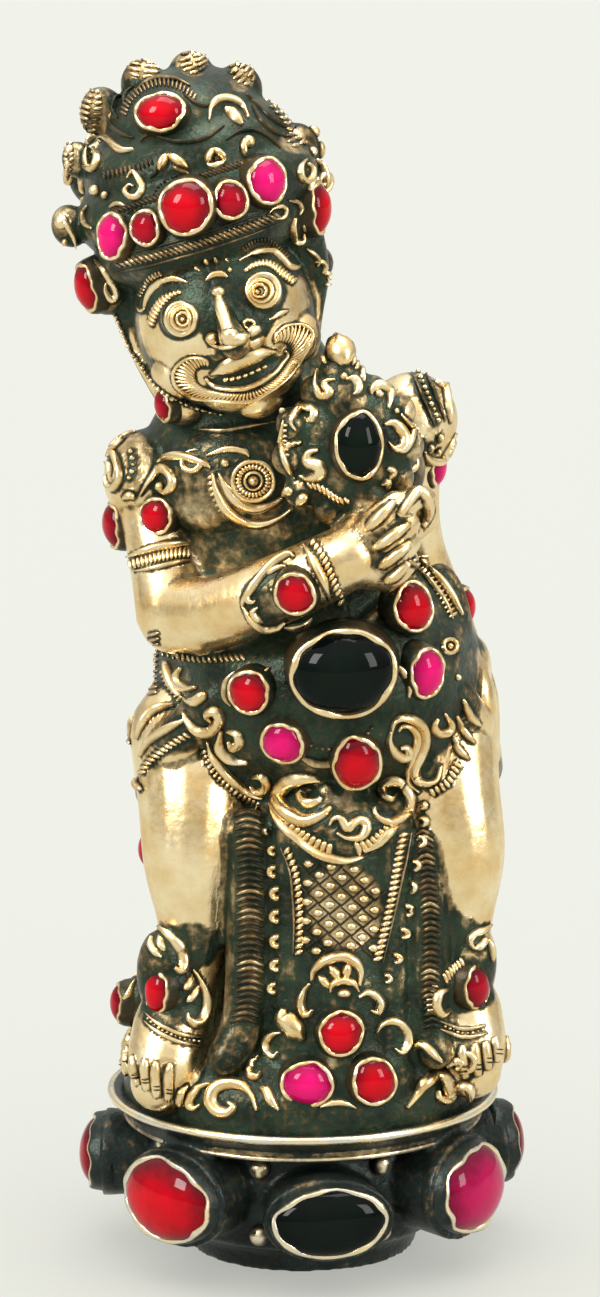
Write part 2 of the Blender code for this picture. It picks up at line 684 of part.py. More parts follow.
def add_figure_settings(skin, bodies, collars, pockets):
    for name, (colour, u, v, width, height, turn, lift, *front) in STONES.items():
        out = facing(turn, lift)
        wide = width * MM * FIGURE_SCALE
        high = height * MM * FIGURE_SCALE
        seat = seat_on(skin, u, v, out, wide, high, *front)
        place = Matrix.Translation(seat) @ frame_along(out)
        add_setting(bodies, collars, pockets, name, colour, place, wide, high, (3.0 if front else 1.8) * MM)
    for name, (colour, turn, z, width, height, lift) in REAR_STONES.items():
        out = facing(turn, lift)
        centre = fitted(Vector((-12.0 if z > 100 else 1.0, 2.0, z)) * MM)
        hit = skin.ray_cast(centre + out * (60 * MM), -out)[0]
        place = Matrix.Translation(hit + out * (0.5 * MM)) @ frame_along(out)
        add_setting(bodies, collars, pockets, name, colour, place, width * MM, height * MM, 1.8 * MM)


# The ring

# Ring stones: (turn from the front in degrees, colour, width, height, and how far lower and farther out
# than the common seat, in mm)
RING_STONES = [
    (-41.0, "red", 13.8, 10.2, 0.0, 0.0),
    (7.6, "black", 13.6, 8.4, 1.1, 0.2),
    (56.0, "pink", 12.6, 11.0, 0.0, 0.0),
    (106.0, "wine", 10.4, 9.7, 0.0, 1.2),
    (158.0, "red", 12.0, 9.6, 0.0, 0.3),
    (211.0, "black", 12.4, 8.8, 0.4, 0.2),
    (265.0, "wine", 9.6, 8.8, 0.0, 0.8),
]
CUP_HEIGHT = FLANGE_HEIGHT + 0.5 * (RING_HEIGHT - COLLAR_HEIGHT - FLANGE_HEIGHT) + 1.3 * MM


def ring_profile():
    """(radius, height) pairs from the underside round to the dish's floor."""
    low = FLANGE_HEIGHT
    high = RING_HEIGHT - COLLAR_HEIGHT
    body = RING_BODY_RADIUS
    dish = FOOT_RADIUS * FIGURE_SCALE + DISH_CLEARANCE
    return [
        (FLANGE_RADIUS, 0.0),
        (FLANGE_RADIUS + 0.6 * MM, low),
        (body - 1.2 * MM, low + 1.2 * MM),
        (body, low + 0.55 * (high - low)),
        (body - 0.8 * MM, high),
        (COLLAR_RADIUS, high + 0.3 * MM),
        (COLLAR_RADIUS, high + 1.4 * MM),
        (RIM_RADIUS - RIM_WIRE, RING_HEIGHT - 2 * RIM_WIRE),
        (RIM_RADIUS, RING_HEIGHT - RIM_WIRE),
        (RIM_RADIUS - 0.5 * RIM_WIRE, RING_HEIGHT),
        (dish, RING_HEIGHT - 0.2 * MM),
        (dish - 0.1 * MM, RING_HEIGHT - DISH_DEPTH),
    ]


RING_SIDES = 32


def make_ring(materials, parts, cutters, bodies, pockets):
    mesh = bmesh.new()
    turns = [k * math.tau / RING_SIDES for k in range(RING_SIDES)]
    close_loops(
        mesh,
        [[Vector((r * math.cos(a), r * math.sin(a), z)) for a in turns] for r, z in ring_profile()],
    )
    ring = object_from(mesh, "jewelled_ring", materials["dark"], parts)
    cups = bmesh.new()
    for step, (turn, colour, width, height, drop, proud) in enumerate(RING_STONES):
        out = facing(turn)
        seat = out * (CUP_REACH + proud * MM) + Vector((0, 0, CUP_HEIGHT - drop * MM))
        place = Matrix.Translation(seat) @ frame_along(out)
        wide = width * MM
        high = height * MM
        dome = 0.3 * high + 0.2 * MM
        stone = bmesh.new()
        add_turned(stone, cabochon_rings(wide, high, STONE_DEPTH, dome), place)
        bodies.append(("ring %d" % (step + 1), colour, stone))
        side = 2 * (STONE_GAP + CUP_WALL)
        sides = sides_for(wide)
        rim = oval(wide + side, high + side, sides)
        low = CUP_ROOT - CUP_REACH - proud * MM
        rings = [[(x * 0.86, y * 0.9, low) for x, y in rim]]
        rings.append([(x, y, -0.8 * MM) for x, y in rim])
        rings.append([(x, y, 0.35 * dome) for x, y in rim])
        add_turned(cups, rings, place)
        hole = oval(wide + 2 * STONE_GAP, high + 2 * STONE_GAP, sides)
        floor = -STONE_DEPTH - STONE_GAP
        add_turned(pockets, [[(x, y, floor) for x, y in hole], [(x, y, 4 * MM) for x, y in hole]], place)
        between = 0.5 * (turn + (RING_STONES[(step + 1) % len(RING_STONES)][0] - turn) % 360.0 + turn)
        out = facing(between)
        for z in (CUP_HEIGHT - 4.8 * MM, CUP_HEIGHT + 3.4 * MM):
            place = Matrix.Translation(out * (RING_BODY_RADIUS - 0.1 * MM) + Vector((0, 0, z)))
            bmesh.ops.create_icosphere(cups, subdivisions=1, radius=GRANULE_RADIUS, matrix=place)
    cups = object_from(cups, "ring cups", materials["dark"], cutters)
    add_boolean(ring, cups, "UNION")
    return ring


def add_boolean(target, tool, operation):
    made = target.modifiers.new(operation.lower(), "BOOLEAN")
    made.operation = operation
    made.solver = "EXACT"
    made.use_self = True
    made.object = tool


def main():
    for old in list(bpy.data.objects):
        bpy.data.objects.remove(old)
    parts = bpy.data.collections.new("jewelled hilt figure")
    cutters = bpy.data.collections.new("cutters")
    for collection in (parts, cutters):
        bpy.context.scene.collection.children.link(collection)
    materials = make_materials()

    mesh = figure_forms()
    skin = skin_of(mesh)
    add_plate(mesh, skin, APRON_EDGE, APRON_MIDDLE, 1.5, 1.2)
    skin = skin_of(mesh)
    figure = object_from(mesh, "figure", materials["gilt"], parts)
    fuse_forms(figure)
    thin = figure.modifiers.new("thin", "DECIMATE")
    thin.ratio = SKIN_SHARE
    guard_details(figure, thin)

    bodies = []
    collars = bmesh.new()
    figure_pockets = bmesh.new()
    ring_pockets = bmesh.new()
    add_figure_settings(skin, bodies, collars, figure_pockets)
    ring = make_ring(materials, parts, cutters, bodies, ring_pockets)
    add_boolean(figure, object_from(foot_envelope(), "foot envelope", materials["gilt"], cutters), "INTERSECT")
    add_boolean(figure, object_from(collars, "collars", materials["gilt"], cutters), "UNION")
    add_boolean(figure, object_from(figure_pockets, "pockets", materials["gilt"], cutters), "DIFFERENCE")
    add_boolean(ring, object_from(ring_pockets, "ring pockets", materials["dark"], cutters), "DIFFERENCE")
    for name, colour, stone in bodies:
        object_from(stone, "stone_" + name.replace(" ", "_"), materials[colour], parts)
    for cutter in cutters.objects:
        cutter.hide_render = True
        cutter.display_type = "WIRE"


main()
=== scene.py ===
# Looks of the jewelled figure hilt: the raised gilt figure with its scrollwork, its cabochons, the
# blackened ring, and the floor, lights and camera of the photograph.
import math

import bmesh
import bpy
import numpy as np
from mathutils import Matrix, Vector, noise
from mathutils.bvhtree import BVHTree


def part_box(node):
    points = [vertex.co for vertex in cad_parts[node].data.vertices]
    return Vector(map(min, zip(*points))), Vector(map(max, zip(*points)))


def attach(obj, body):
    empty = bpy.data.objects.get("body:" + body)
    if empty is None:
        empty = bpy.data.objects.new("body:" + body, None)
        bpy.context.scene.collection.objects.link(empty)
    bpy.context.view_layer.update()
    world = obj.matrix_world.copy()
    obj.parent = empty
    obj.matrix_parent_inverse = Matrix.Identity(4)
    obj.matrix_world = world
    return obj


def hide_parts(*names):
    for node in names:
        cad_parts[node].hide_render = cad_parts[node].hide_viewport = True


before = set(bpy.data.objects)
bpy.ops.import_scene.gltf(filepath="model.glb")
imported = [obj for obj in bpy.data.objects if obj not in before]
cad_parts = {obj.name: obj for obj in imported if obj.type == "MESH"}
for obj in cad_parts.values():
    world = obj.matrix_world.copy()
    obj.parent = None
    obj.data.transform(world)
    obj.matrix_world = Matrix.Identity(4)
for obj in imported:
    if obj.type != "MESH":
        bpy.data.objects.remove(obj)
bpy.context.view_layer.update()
mm = 0.001

figureLow, figureHigh = (Vector(corner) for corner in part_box("figure"))
ringLow, ringHigh = (Vector(corner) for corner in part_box("jewelled_ring"))

picture = {
    "middle": (300.0, 648.5),
    "focus": 5930.0,  # pixels
    "distance": 0.7,
    "elevation": math.radians(11.5),
    "aim": Vector((-0.3, 0.0, 72.5)) * mm,
    "axisColumn": 303.0,
    "longSide": 1297,
}
picture["pixel"] = picture["distance"] / picture["focus"]

drawn = {
    "height": 124.9 * mm,
    "foot": Vector((0.0, 0.0, 18.6)) * mm,
    "footRadius": 20.8,
    "footHeight": 2.9,
}
figureFoot = Vector((0.0, 0.0, figureLow.z))
figureScale = (figureHigh.z - figureLow.z) / drawn["height"]


def fitted(point):
    return figureFoot + (point - drawn["foot"]) * figureScale


def viewAxes(turn=0.0):
    spin = Matrix.Rotation(math.radians(turn), 3, "Z")
    low = picture["elevation"]
    forward = spin @ Vector((0.0, math.cos(low), -math.sin(low)))
    up = spin @ Vector((0.0, math.sin(low), math.cos(low)))
    across = spin @ Vector((1.0, 0.0, 0.0))
    return across, up, forward


def sight(u, v, turn=0.0):
    across, up, forward = viewAxes(turn)
    right = (u - picture["middle"][0]) / picture["focus"]
    rise = (picture["middle"][1] - v) / picture["focus"]
    return (forward + across * right + up * rise).normalized()


def eyeAt(turn=0.0):
    return picture["aim"] - viewAxes(turn)[2] * picture["distance"]


def spot(u, v, front, turn=0.0):
    # The point seen at a pixel, so many millimetres in front of the upright axis
    ray = sight(u, v, turn)
    eye = eyeAt(turn)
    level = Matrix.Rotation(math.radians(turn), 3, "Z") @ Vector((0.0, -1.0, 0.0))
    return fitted(eye + ray * ((front * mm - eye.dot(level)) / ray.dot(level)))


def seenAt(place, turn=0.0):
    # The pixel at which a place shows, seen from so many degrees round the axis
    across, up, forward = viewAxes(turn)
    away = (place - figureFoot) / figureScale + drawn["foot"] - eyeAt(turn)
    reach = picture["focus"] / away.dot(forward)
    return picture["middle"][0] + away.dot(across) * reach, picture["middle"][1] - away.dot(up) * reach


def facing(turn, lift=0.0):
    a = math.radians(turn)
    e = math.radians(lift)
    return Vector((math.sin(a) * math.cos(e), -math.cos(a) * math.cos(e), math.sin(e)))


def frameAlong(axis, roll=0.0):
    z = axis.normalized()
    up = Vector((0, 0, 1)) if abs(z.z) < 0.95 else Vector((0, -1, 0))
    x = up.cross(z).normalized()
    turned = Matrix((x, z.cross(x), z)).transposed().to_4x4()
    return turned @ Matrix.Rotation(math.radians(roll), 4, "Z")


# Building blocks of the forms


def addBall(mesh, centre, radii, turned=None, segments=28, rings=18):
    # An ellipsoid with radii in millimetres across, deep and high
    size = Matrix.Diagonal((*(r * mm * figureScale for r in radii), 1.0))
    place = Matrix.Translation(centre) @ (turned or Matrix()) @ size
    top = mesh.verts.new(place @ Vector((0, 0, 1)))
    foot = mesh.verts.new(place @ Vector((0, 0, -1)))
    rows = []
    for i in range(1, rings):
        high = math.cos(i * math.pi / rings)
        wide = math.sin(i * math.pi / rings)
        turns = [k * math.tau / segments for k in range(segments)]
        rows.append([mesh.verts.new(place @ Vector((wide * math.cos(a), wide * math.sin(a), high))) for a in turns])
    for k in range(segments):
        n = (k + 1) % segments
        mesh.faces.new((top, rows[0][k], rows[0][n]))
        mesh.faces.new((foot, rows[-1][n], rows[-1][k]))
        for upper, lower in zip(rows, rows[1:]):
            mesh.faces.new((upper[k], lower[k], lower[n], upper[n]))
    return [vertex for row in rows for vertex in row] + [top, foot]


def smoothLine(points, steps):
    made = []
    last = len(points) - 1
    for i in range(last):
        a, b, c, d = (points[min(max(k, 0), last)] for k in (i - 1, i, i + 1, i + 2))
        for n in range(steps):
            t = n / steps
            made.append(
                tuple(
                    q + 0.5 * t * (r - p + t * (2 * p - 5 * q + 4 * r - s + t * (3 * (q - r) + s - p)))
                    for p, q, r, s in zip(a, b, c, d)
                )
            )
    made.append(tuple(points[-1]))
    return made


def closeLoops(mesh, loops):
    rows = [[mesh.verts.new(p) for p in loop] for loop in loops]
    count = len(rows[0])
    for low, high in zip(rows, rows[1:]):
        for k in range(count):
            mesh.faces.new((low[k], low[(k + 1) % count], high[(k + 1) % count], high[k]))
    mesh.faces.new(list(reversed(rows[0])))
    mesh.faces.new(rows[-1])


def addTube(mesh, line, sides=16):
    places = [p for p, _ in line]
    last = len(line) - 1
    loops = []
    for i, (centre, radius) in enumerate(line):
        along = (places[min(i + 1, last)] - places[max(i - 1, 0)]).normalized()
        a = along.cross(Vector((0.3, -1.0, 0.2))).normalized()
        b = a.cross(along).normalized()
        ring = [(math.cos(k * math.tau / sides), math.sin(k * math.tau / sides)) for k in range(sides)]
        shifts = [(0.0, 1.0)]
        if i == 0:
            shifts = [(-0.94, 0.3), (-0.75, 0.66), (-0.4, 0.92), (0.0, 1.0)]
        if i == last:
            shifts = [(0.0, 1.0), (0.4, 0.92), (0.75, 0.66), (0.94, 0.3)]
        for shift, share in shifts:
            middle = centre + along * (shift * radius)
            loops.append([middle + (a * c + b * s) * (radius * share) for c, s in ring])
    closeLoops(mesh, loops)


def limbLine(points, steps=5):
    return [(spot(u, v, front), radius * mm * figureScale) for u, v, front, radius in smoothLine(points, steps)]


def addLimb(mesh, points, steps=5, sides=16):
    addTube(mesh, limbLine(points, steps), sides)


def addStack(mesh, sections, steps=6, sides=64, power=2.3):
    loops = []
    for z, x, y, halfX, halfY in smoothLine(sections, steps):
        loop = []
        for k in range(sides):
            c = math.cos(k * math.tau / sides)
            s = math.sin(k * math.tau / sides)
            reach = (abs(c) ** power + abs(s) ** power) ** (-1 / power)
            loop.append(fitted(Vector((x + halfX * c * reach, y + halfY * s * reach, z)) * mm))
        loops.append(loop)
    closeLoops(mesh, loops)


# The head's own frame, in pixels to its side and above the face's middle

head = {"middle": (228.0, 335.0), "roll": math.radians(17.0)}
headTurn = Matrix.Rotation(-head["roll"], 4, "Y")


def headPixel(side, rise):
    c = math.cos(head["roll"])
    s = math.sin(head["roll"])
    u, v = head["middle"]
    return u + side * c - rise * s, v - side * s - rise * c


def headSpot(side, rise, front):
    u, v = headPixel(side, rise)
    return spot(u, v, front)


def turnedTo(degrees, axis="Z"):
    return Matrix.Rotation(math.radians(degrees), 4, axis)


# Stones. For each node: its finish, and the turn from the front and the lift of its axis in degrees

stones = {
    "crown_front": ("red", -9, 6),
    "crown_left_inner": ("wine", -24, 4),
    "crown_right_inner": ("wine", 10, 6),
    "crown_left": ("pink", -42, 4),
    "crown_right": ("pink", 30, 10),
    "crown_left_side": ("red", -60, -10),
    "crown_right_side": ("red", 70, 4),
    "crown_top": ("red", -14, 26),
    "crown_rear": ("red", 182, 4),
    "left_ear": ("wine", -62, -8),
    "left_shoulder": ("red", -30, 0),
    "left_armlet": ("wine", -72, -4),
    "right_armlet": ("wine", 86, 4),
    "right_arm": ("pink", 72, -4),
    "held_jewel": ("black", 8, 6),
    "left_bracelet": ("red", -6, -4),
    "right_bracelet": ("red", 74, 4),
    "belly": ("black", 4, 0),
    "belly_upper_right": ("red", 28, 8),
    "belly_right": ("pink", 38, 0),
    "belly_left": ("red", -26, -2),
    "belly_lower_left": ("pink", -16, -14),
    "belly_lower": ("red", 6, -16),
    "base_upper": ("red", 4, 10),
    "base_left": ("pink", -3, 2),
    "base_right": ("red", 16, 4),
    "left_ankle": ("red", -46, 2),
    "left_rear_ankle": ("wine", -82, 2),
    "right_ankle": ("wine", 50, 2),
    "right_rear_ankle": ("wine", 84, 2),
    "left_hip": ("wine", -84, 0),
    "back": ("black", 180, 0),
    "ring_1": ("red", -41, 0),
    "ring_2": ("black", 7.6, 0),
    "ring_3": ("rose", 56, 0),
    "ring_4": ("wine", 106, 0),
    "ring_5": ("red", 158, 0),
    "ring_6": ("black", 211, 0),
    "ring_7": ("wine", 265, 0),
}
setting = {
    "depth": 0.7,  # of a stone under its girdle
    "girdle": 0.06,  # share that the outline wanders
    "wall": 0.5,  # from the stone to the collar's outer face
    "root": 2.4,  # of the collar, under the girdle
    "glow": 0.32,  # how much the light gathers in a stone's lower half
    "wander": 0.14,  # of the rubbed edge
    "sides": 56,
}


def stoneSeat(node, out):
    # Centre of the girdle and the half sizes, measured on the node
    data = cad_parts[node].data
    points = [vertex.co.copy() for vertex in data.vertices]
    low = min(p.dot(out) for p in points)
    base = [p for p in points if p.dot(out) < low + 0.05 * mm]
    turned = frameAlong(out)
    local = [turned.inverted() @ p for p in base]
    lowX, highX = (pick(p.x for p in local) for pick in (min, max))
    lowY, highY = (pick(p.y for p in local) for pick in (min, max))
    centre = turned @ Vector(((lowX + highX) / 2, (lowY + highY) / 2, low + setting["depth"] * mm))
    dome = max(p.dot(out) for p in points) - low - setting["depth"] * mm
    return centre, turned, (highX - lowX) / 2, (highY - lowY) / 2, dome


bosses = {
    "head": ["crown_left_side", "crown_right_side", "left_ear"],
    "trunk": ["left_armlet", "right_armlet", "right_arm", "right_bracelet"],
    "lower": ["left_ankle", "left_rear_ankle", "right_ankle", "right_rear_ankle", "left_hip"],
}


def addBosses(mesh, region):
    # Low mounds that carry the stones at the figure's edge
    for name in bosses[region]:
        _, turn, lift = stones[name]
        out = facing(turn, lift)
        centre, _, halfX, halfY, _ = stoneSeat("stone_" + name, out)
        addBall(mesh, centre - out * (2.3 * mm), (halfX / mm + 1.0, 2.6, halfY / mm + 1.0), turnedTo(turn))


# Forms of the figure. Places are (across, down) in pixels with the distance in front of the axis and
# the radius in millimetres.

legs = {
    "left": [
        (190, 735, 4, 7.2), (193, 800, 8, 6.6), (191, 862, 10, 5.7), (197, 925, 9.6, 4.7),
        (190, 980, 10, 4.3), (180, 1030, 11.5, 4.4),
    ],
    "right": [
        (440, 722, 4, 6.8), (447, 790, 8, 6.3), (458, 852, 9.6, 5.6), (455, 905, 9.2, 4.8),
        (452, 960, 9.6, 4.2), (458, 1015, 10.5, 4.4),
    ],
}
feet = {
    "left": [(172, 1025, 12, 4.6), (164, 1066, 14.0, 4.6), (160, 1083, 14.6, 3.6)],
    "right": [(463, 1010, 10, 4.6), (470, 1050, 12.0, 4.4), (472, 1070, 12.4, 3.6)],
    "toeTurns": (-75, -66, -57, -48, -39, 42, 51, 60, 69, 78),
    "toeReach": 19.8,
    "toeHeight": 23.9,
}
pleats = {
    "left": [(250, 830, 13.0, 2.6), (248, 930, 14.3, 2.6), (243, 1020, 15.6, 2.5), (226, 1058, 17.6, 2.2)],
    "right": [(424, 850, 12.5, 2.6), (428, 930, 13.6, 2.6), (428, 1020, 14.6, 2.5), (436, 1052, 15.8, 2.2)],
}
arms = {
    "leftUpper": [(150, 480, 2, 4.8), (158, 530, 4.5, 4.2), (164, 570, 7, 4.0), (174, 612, 9.8, 4.6)],
    "leftFore": [
        (176, 616, 9.8, 4.6), (215, 612, 14.5, 4.3), (262, 596, 18.0, 4.1), (310, 576, 19.2, 4.0),
        (350, 556, 19.8, 3.8),
    ],
    "rightUpper": [(412, 424, 0.5, 5.2), (405, 480, 0.0, 4.2), (410, 540, -1.5, 3.9), (428, 590, -3.0, 3.8)],
    "rightFore": [(426, 586, -3.0, 3.8), (444, 625, -2.4, 3.5), (462, 672, 0.0, 3.2)],
}
hands = {
    "fist": [
        [(367, 528, 21.2, 1.4), (379, 516, 22.6, 1.55), (396, 502, 21.6, 1.4)],
        [(376, 548, 21.0, 1.4), (391, 536, 22.4, 1.6), (409, 524, 20.8, 1.4)],
        [(381, 567, 20.6, 1.35), (396, 555, 22.0, 1.5), (410, 543, 20.4, 1.35)],
        [(386, 582, 20.0, 1.3), (397, 574, 21.2, 1.4), (409, 561, 19.8, 1.3)],
    ],
    "thumb": [(396, 514, 20.6, 1.35), (410, 500, 20.8, 1.45), (425, 499, 18.8, 1.4), (427, 520, 17.0, 1.4), (410, 532, 18.6, 1.4)],
    "hip": [
        [(474, 668, 4.6, 1.5), (482, 700, 5.4, 1.6), (483, 746, 5.4, 1.4)],
        [(476, 668, 1.4, 1.5), (484, 700, 2.0, 1.6), (486, 746, 1.8, 1.4)],
        [(478, 668, -1.8, 1.5), (486, 700, -1.4, 1.6), (489, 746, -1.8, 1.4)],
    ],
}
jewel = {
    "tip": [(348, 404, 16.6, 3.6), (341, 376, 16.0, 2.8), (336, 345, 15.0, 1.3)],
    "stem": [(362, 490, 16.5, 3.2), (376, 520, 17.5, 2.8)],
    "leaves": [
        (316, 392), (292, 424), (288, 458), (300, 490), (330, 508), (372, 392), (400, 412), (408, 446), (398, 478),
    ],
}
sashes = {
    "left": [(212, 700, 13, 2.4), (178, 742, 10.5, 2.9), (162, 776, 6.0, 2.9), (158, 792, -1, 2.8)],
    "right": [(452, 690, 10, 2.4), (474, 735, 6.0, 2.8), (480, 768, -1.0, 2.8)],
}
crown = {
    "lobes": [
        (103, 112, 2.0, 2.6), (144, 86, 1.0, 2.7), (192, 78, 0.5, 2.8), (240, 88, 0.5, 2.6), (298, 148, 2.0, 2.6),
        (78, 160, 4.0, 1.9), (70, 226, 6.0, 2.2), (312, 178, 2.0, 2.1), (318, 262, 3.0, 1.8),
    ],
    # turn from the front, height and reach, in degrees and millimetres
    "rearLobes": [
        (120, 133, 6.5), (180, 135, 9), (240, 133, 6.5), (100, 131, 11), (145, 130, 12), (190, 130, 13),
        (235, 129, 12), (265, 128, 11),
    ],
}
hair = [
    [(-84, 92, 6.0, 3.0), (-86, 40, 5.5, 1.9), (-84, 0, 6.0, 1.6), (-76, -40, 7.0, 1.5)],
    [(94, 92, 6.0, 3.4), (96, 40, 5.5, 2.5), (84, 0, 6.0, 1.8), (70, -36, 7.0, 1.5)],
]
nose = [(1, 36, 18.4, 1.0), (2, 12, 20.4, 1.2), (4, -8, 21.8, 1.8), (4, -14, 21.0, 1.6)]


def addLowerForms(mesh):
    addStack(
        mesh,
        [
            (16.0, 0, 0, 21.4, 21.4), (22.0, 0.1, 0, 21.5, 21.3), (25.0, 0.4, 0.4, 21.0, 20.0),
            (30.0, 0.8, 2.0, 19.3, 17.0), (40.0, 1.6, 3.0, 17.6, 14.5), (50.0, 2.2, 3.0, 18.0, 14.0),
            (60.0, 2.2, 2.0, 19.6, 15.0), (70.0, 1.6, 0.5, 19.1, 16.3), (77.0, 0.4, 0.4, 16.8, 14.4),
            (83.0, -1.0, 0.4, 13.4, 11.6),
        ],
        power=2.0,
    )
    for u, half in ((300, 4.6), (338, 6.2), (378, 4.6)):
        addLimb(mesh, [(u, 830, 12.0, half), (u, 930, 12.6, half), (u, 1060, 14.2, half)])
    for line in (*pleats.values(), *legs.values(), feet["left"], feet["right"]):
        addLimb(mesh, line)
    for turn in feet["toeTurns"]:
        place = facing(turn) * (feet["toeReach"] * mm) + Vector((0, 0, feet["toeHeight"] * mm))
        addBall(mesh, fitted(place), (1.35, 2.0, 2.2), turnedTo(turn))
    addBall(mesh, spot(160, 975, 13.0), (3.2, 2.2, 5.4), turnedTo(-40))
    addBall(mesh, spot(474, 965, 11.6), (3.2, 2.2, 5.4), turnedTo(44))
    addBosses(mesh, "lower")
    addBall(mesh, spot(342, 1072, 14.0), (9.4, 6.4, 7.4))
    addBall(mesh, spot(341, 990, 16.6), (4.6, 2.6, 5.0))
    for line in sashes.values():
        addLimb(mesh, line)


def addTrunkForms(mesh):
    addBall(mesh, spot(326, 672, 2.0), (18.6, 17.6, 14.4), segments=48, rings=32)
    addStack(
        mesh,
        [
            (70.0, 1.0, 0.0, 15.8, 14.6), (82.0, -1.2, 0.4, 14.4, 12.4), (90.0, -2.4, 0.6, 14.8, 12.0),
            (97.0, -2.4, 0.6, 16.0, 11.6), (101.0, -3.0, 0.0, 14.0, 10.2), (105.0, -4.6, -1.6, 10.0, 8.4),
            (112.0, -7.0, -3.0, 7.6, 7.6),
        ],
    )
    addBall(mesh, spot(240, 476, 6.8), (9.8, 5.8, 7.8), headTurn)
    addBall(mesh, spot(345, 470, 7.5), (9.4, 5.8, 7.2))
    addBall(mesh, spot(149, 478, 1.5), (5.4, 6.4, 5.8))
    addBall(mesh, spot(412, 420, 0.5), (5.4, 6.4, 5.6))
    addBall(mesh, fitted(Vector((1.0, 17.0, 66.0)) * mm), (8.0, 5.0, 9.0))
    for line in arms.values():
        addLimb(mesh, line)
    addBall(mesh, spot(372, 550, 19.2), (4.6, 3.4, 4.8), turnedTo(-29, "Y"))
    for line in (*hands["fist"], hands["thumb"], *hands["hip"]):
        addLimb(mesh, line, sides=12)
    addBosses(mesh, "trunk")
    addBall(mesh, spot(470, 668, 1.0), (2.6, 4.0, 4.0))
    addBall(mesh, spot(354, 446, 16.8), (6.6, 3.2, 7.8), turnedTo(7, "Y"))
    for u, v in jewel["leaves"]:
        addBall(mesh, spot(u, v, 16.4), (1.9, 2.3, 2.0))
    for line in (jewel["tip"], jewel["stem"]):
        addLimb(mesh, line)


def addHeadForms(mesh):
    turn = headTurn
    addBosses(mesh, "head")
    addBall(mesh, headSpot(2, 20, 9.0), (10.4, 11.0, 10.8), turn, 48, 32)
    addBall(mesh, headSpot(8, -40, 11.6), (6.8, 6.8, 4.6), turn)
    addBall(mesh, headSpot(11, -68, 13.6), (3.0, 3.0, 2.5), turn)
    for side in (-1, 1):
        addBall(mesh, headSpot(2 + side * 62, -20, 12.8), (3.0, 3.6, 3.2), turn)
        addBall(mesh, headSpot(2 + side * 43, 30, 17.4), (2.3, 2.1, 2.3), turn)
        addBall(mesh, headSpot(4 + side * 15, -12, 18.8), (1.7, 1.6, 1.35), turn)
    addLimb(mesh, [(*headPixel(s, t), front, r) for s, t, front, r in nose], steps=4, sides=12)
    addBall(mesh, headSpot(6, 108, 5.0), (12.8, 13.6, 6.0), turn, 48, 32)
    addBall(mesh, headSpot(12, 144, 4.0), (14.4, 14.4, 7.4), turn, 48, 32)
    addBall(mesh, headSpot(14, 180, 3.0), (12.6, 13.4, 7.0), turn, 48, 32)
    addBall(mesh, headSpot(18, 208, 2.0), (9.6, 11.4, 7.4), turn, 48, 32)
    for u, v, front, radius in crown["lobes"]:
        addBall(mesh, spot(u, v, front), (radius, radius, 1.15 * radius), turn)
    for turnOut, height, reach in crown["rearLobes"]:
        out = facing(turnOut)
        middle = fitted(Vector((-13.5 * mm, 2.0 * mm, height * mm)) + Vector((out.x, out.y, 0)) * (reach * mm))
        addBall(mesh, middle, (2.9, 2.9, 3.6), turn)
    for line in hair:
        addLimb(mesh, [(*headPixel(s, t), front, r) for s, t, front, r in line])
    addBall(mesh, headSpot(6, -6, -3.0), (9.4, 8.0, 12.0), turn)


# The apron over the belly, as a plate that follows what lies under it

apron = {
    "middle": (325, 700),
    "edge": [
        (170, 655), (176, 690), (196, 742), (224, 788), (262, 812), (300, 846), (342, 866), (382, 848),
        (410, 812), (442, 790), (456, 740), (468, 690), (474, 640), (466, 594), (448, 566), (424, 568),
        (380, 600), (330, 640), (270, 650), (210, 655), (184, 645),
    ],
    "thick": 1.5,
    "sink": 1.2,
    "front": 5.0,  # least distance in front of the axis
}


def touch(skin, u, v, turn=0.0):
    eye = fitted(eyeAt(turn))
    point, normal, _, _ = skin.ray_cast(eye, sight(u, v, turn))
    if point is None:
        level = Matrix.Rotation(math.radians(turn), 3, "Z") @ Vector((0.0, -1.0, 0.0))
        point, normal, _, _ = skin.find_nearest(spot(u, v, 2.0, turn))
        normal = (normal + level * 0.2).normalized()
    return point, normal


def addPlate(mesh, skin, plate, rings=10, steps=4):
    outline = smoothLine(plate["edge"] + [plate["edge"][0]], steps)[:-1]
    count = len(outline)
    middleU, middleV = plate["middle"]
    thick = plate["thick"]
    forward = viewAxes()[2]
    top = []
    low = []
    for k in range(1, rings + 1):
        share = k / rings
        rise = thick * math.sqrt(max(0.0, 1 - share**8)) + 0.15 * thick
        topRing = []
        lowRing = []
        for u, v in outline:
            hereU = middleU + (u - middleU) * share
            hereV = middleV + (v - middleV) * share
            point, normal = touch(skin, hereU, hereV)
            if point.y > -plate["front"] * mm:
                point = spot(hereU, hereV, plate["front"])
            out = (normal - 1.5 * forward).normalized()
            topRing.append(mesh.verts.new(point + out * (rise * mm)))
            lowRing.append(mesh.verts.new(point - out * (plate["sink"] * mm)))
        top.append(topRing)
        low.append(lowRing)
    point, normal = touch(skin, middleU, middleV)
    out = (normal - forward).normalized()
    crest = mesh.verts.new(point + out * (1.15 * thick * mm))
    root = mesh.verts.new(point - out * (plate["sink"] * mm))
    for k in range(count):
        n = (k + 1) % count
        mesh.faces.new((crest, top[0][n], top[0][k]))
        mesh.faces.new((root, low[0][k], low[0][n]))
        for ring in range(rings - 1):
            mesh.faces.new((top[ring][k], top[ring][n], top[ring + 1][n], top[ring + 1][k]))
            mesh.faces.new((low[ring][n], low[ring][k], low[ring + 1][k], low[ring + 1][n]))
        mesh.faces.new((top[-1][k], top[-1][n], low[-1][n], low[-1][k]))


# From overlapping forms to one skin


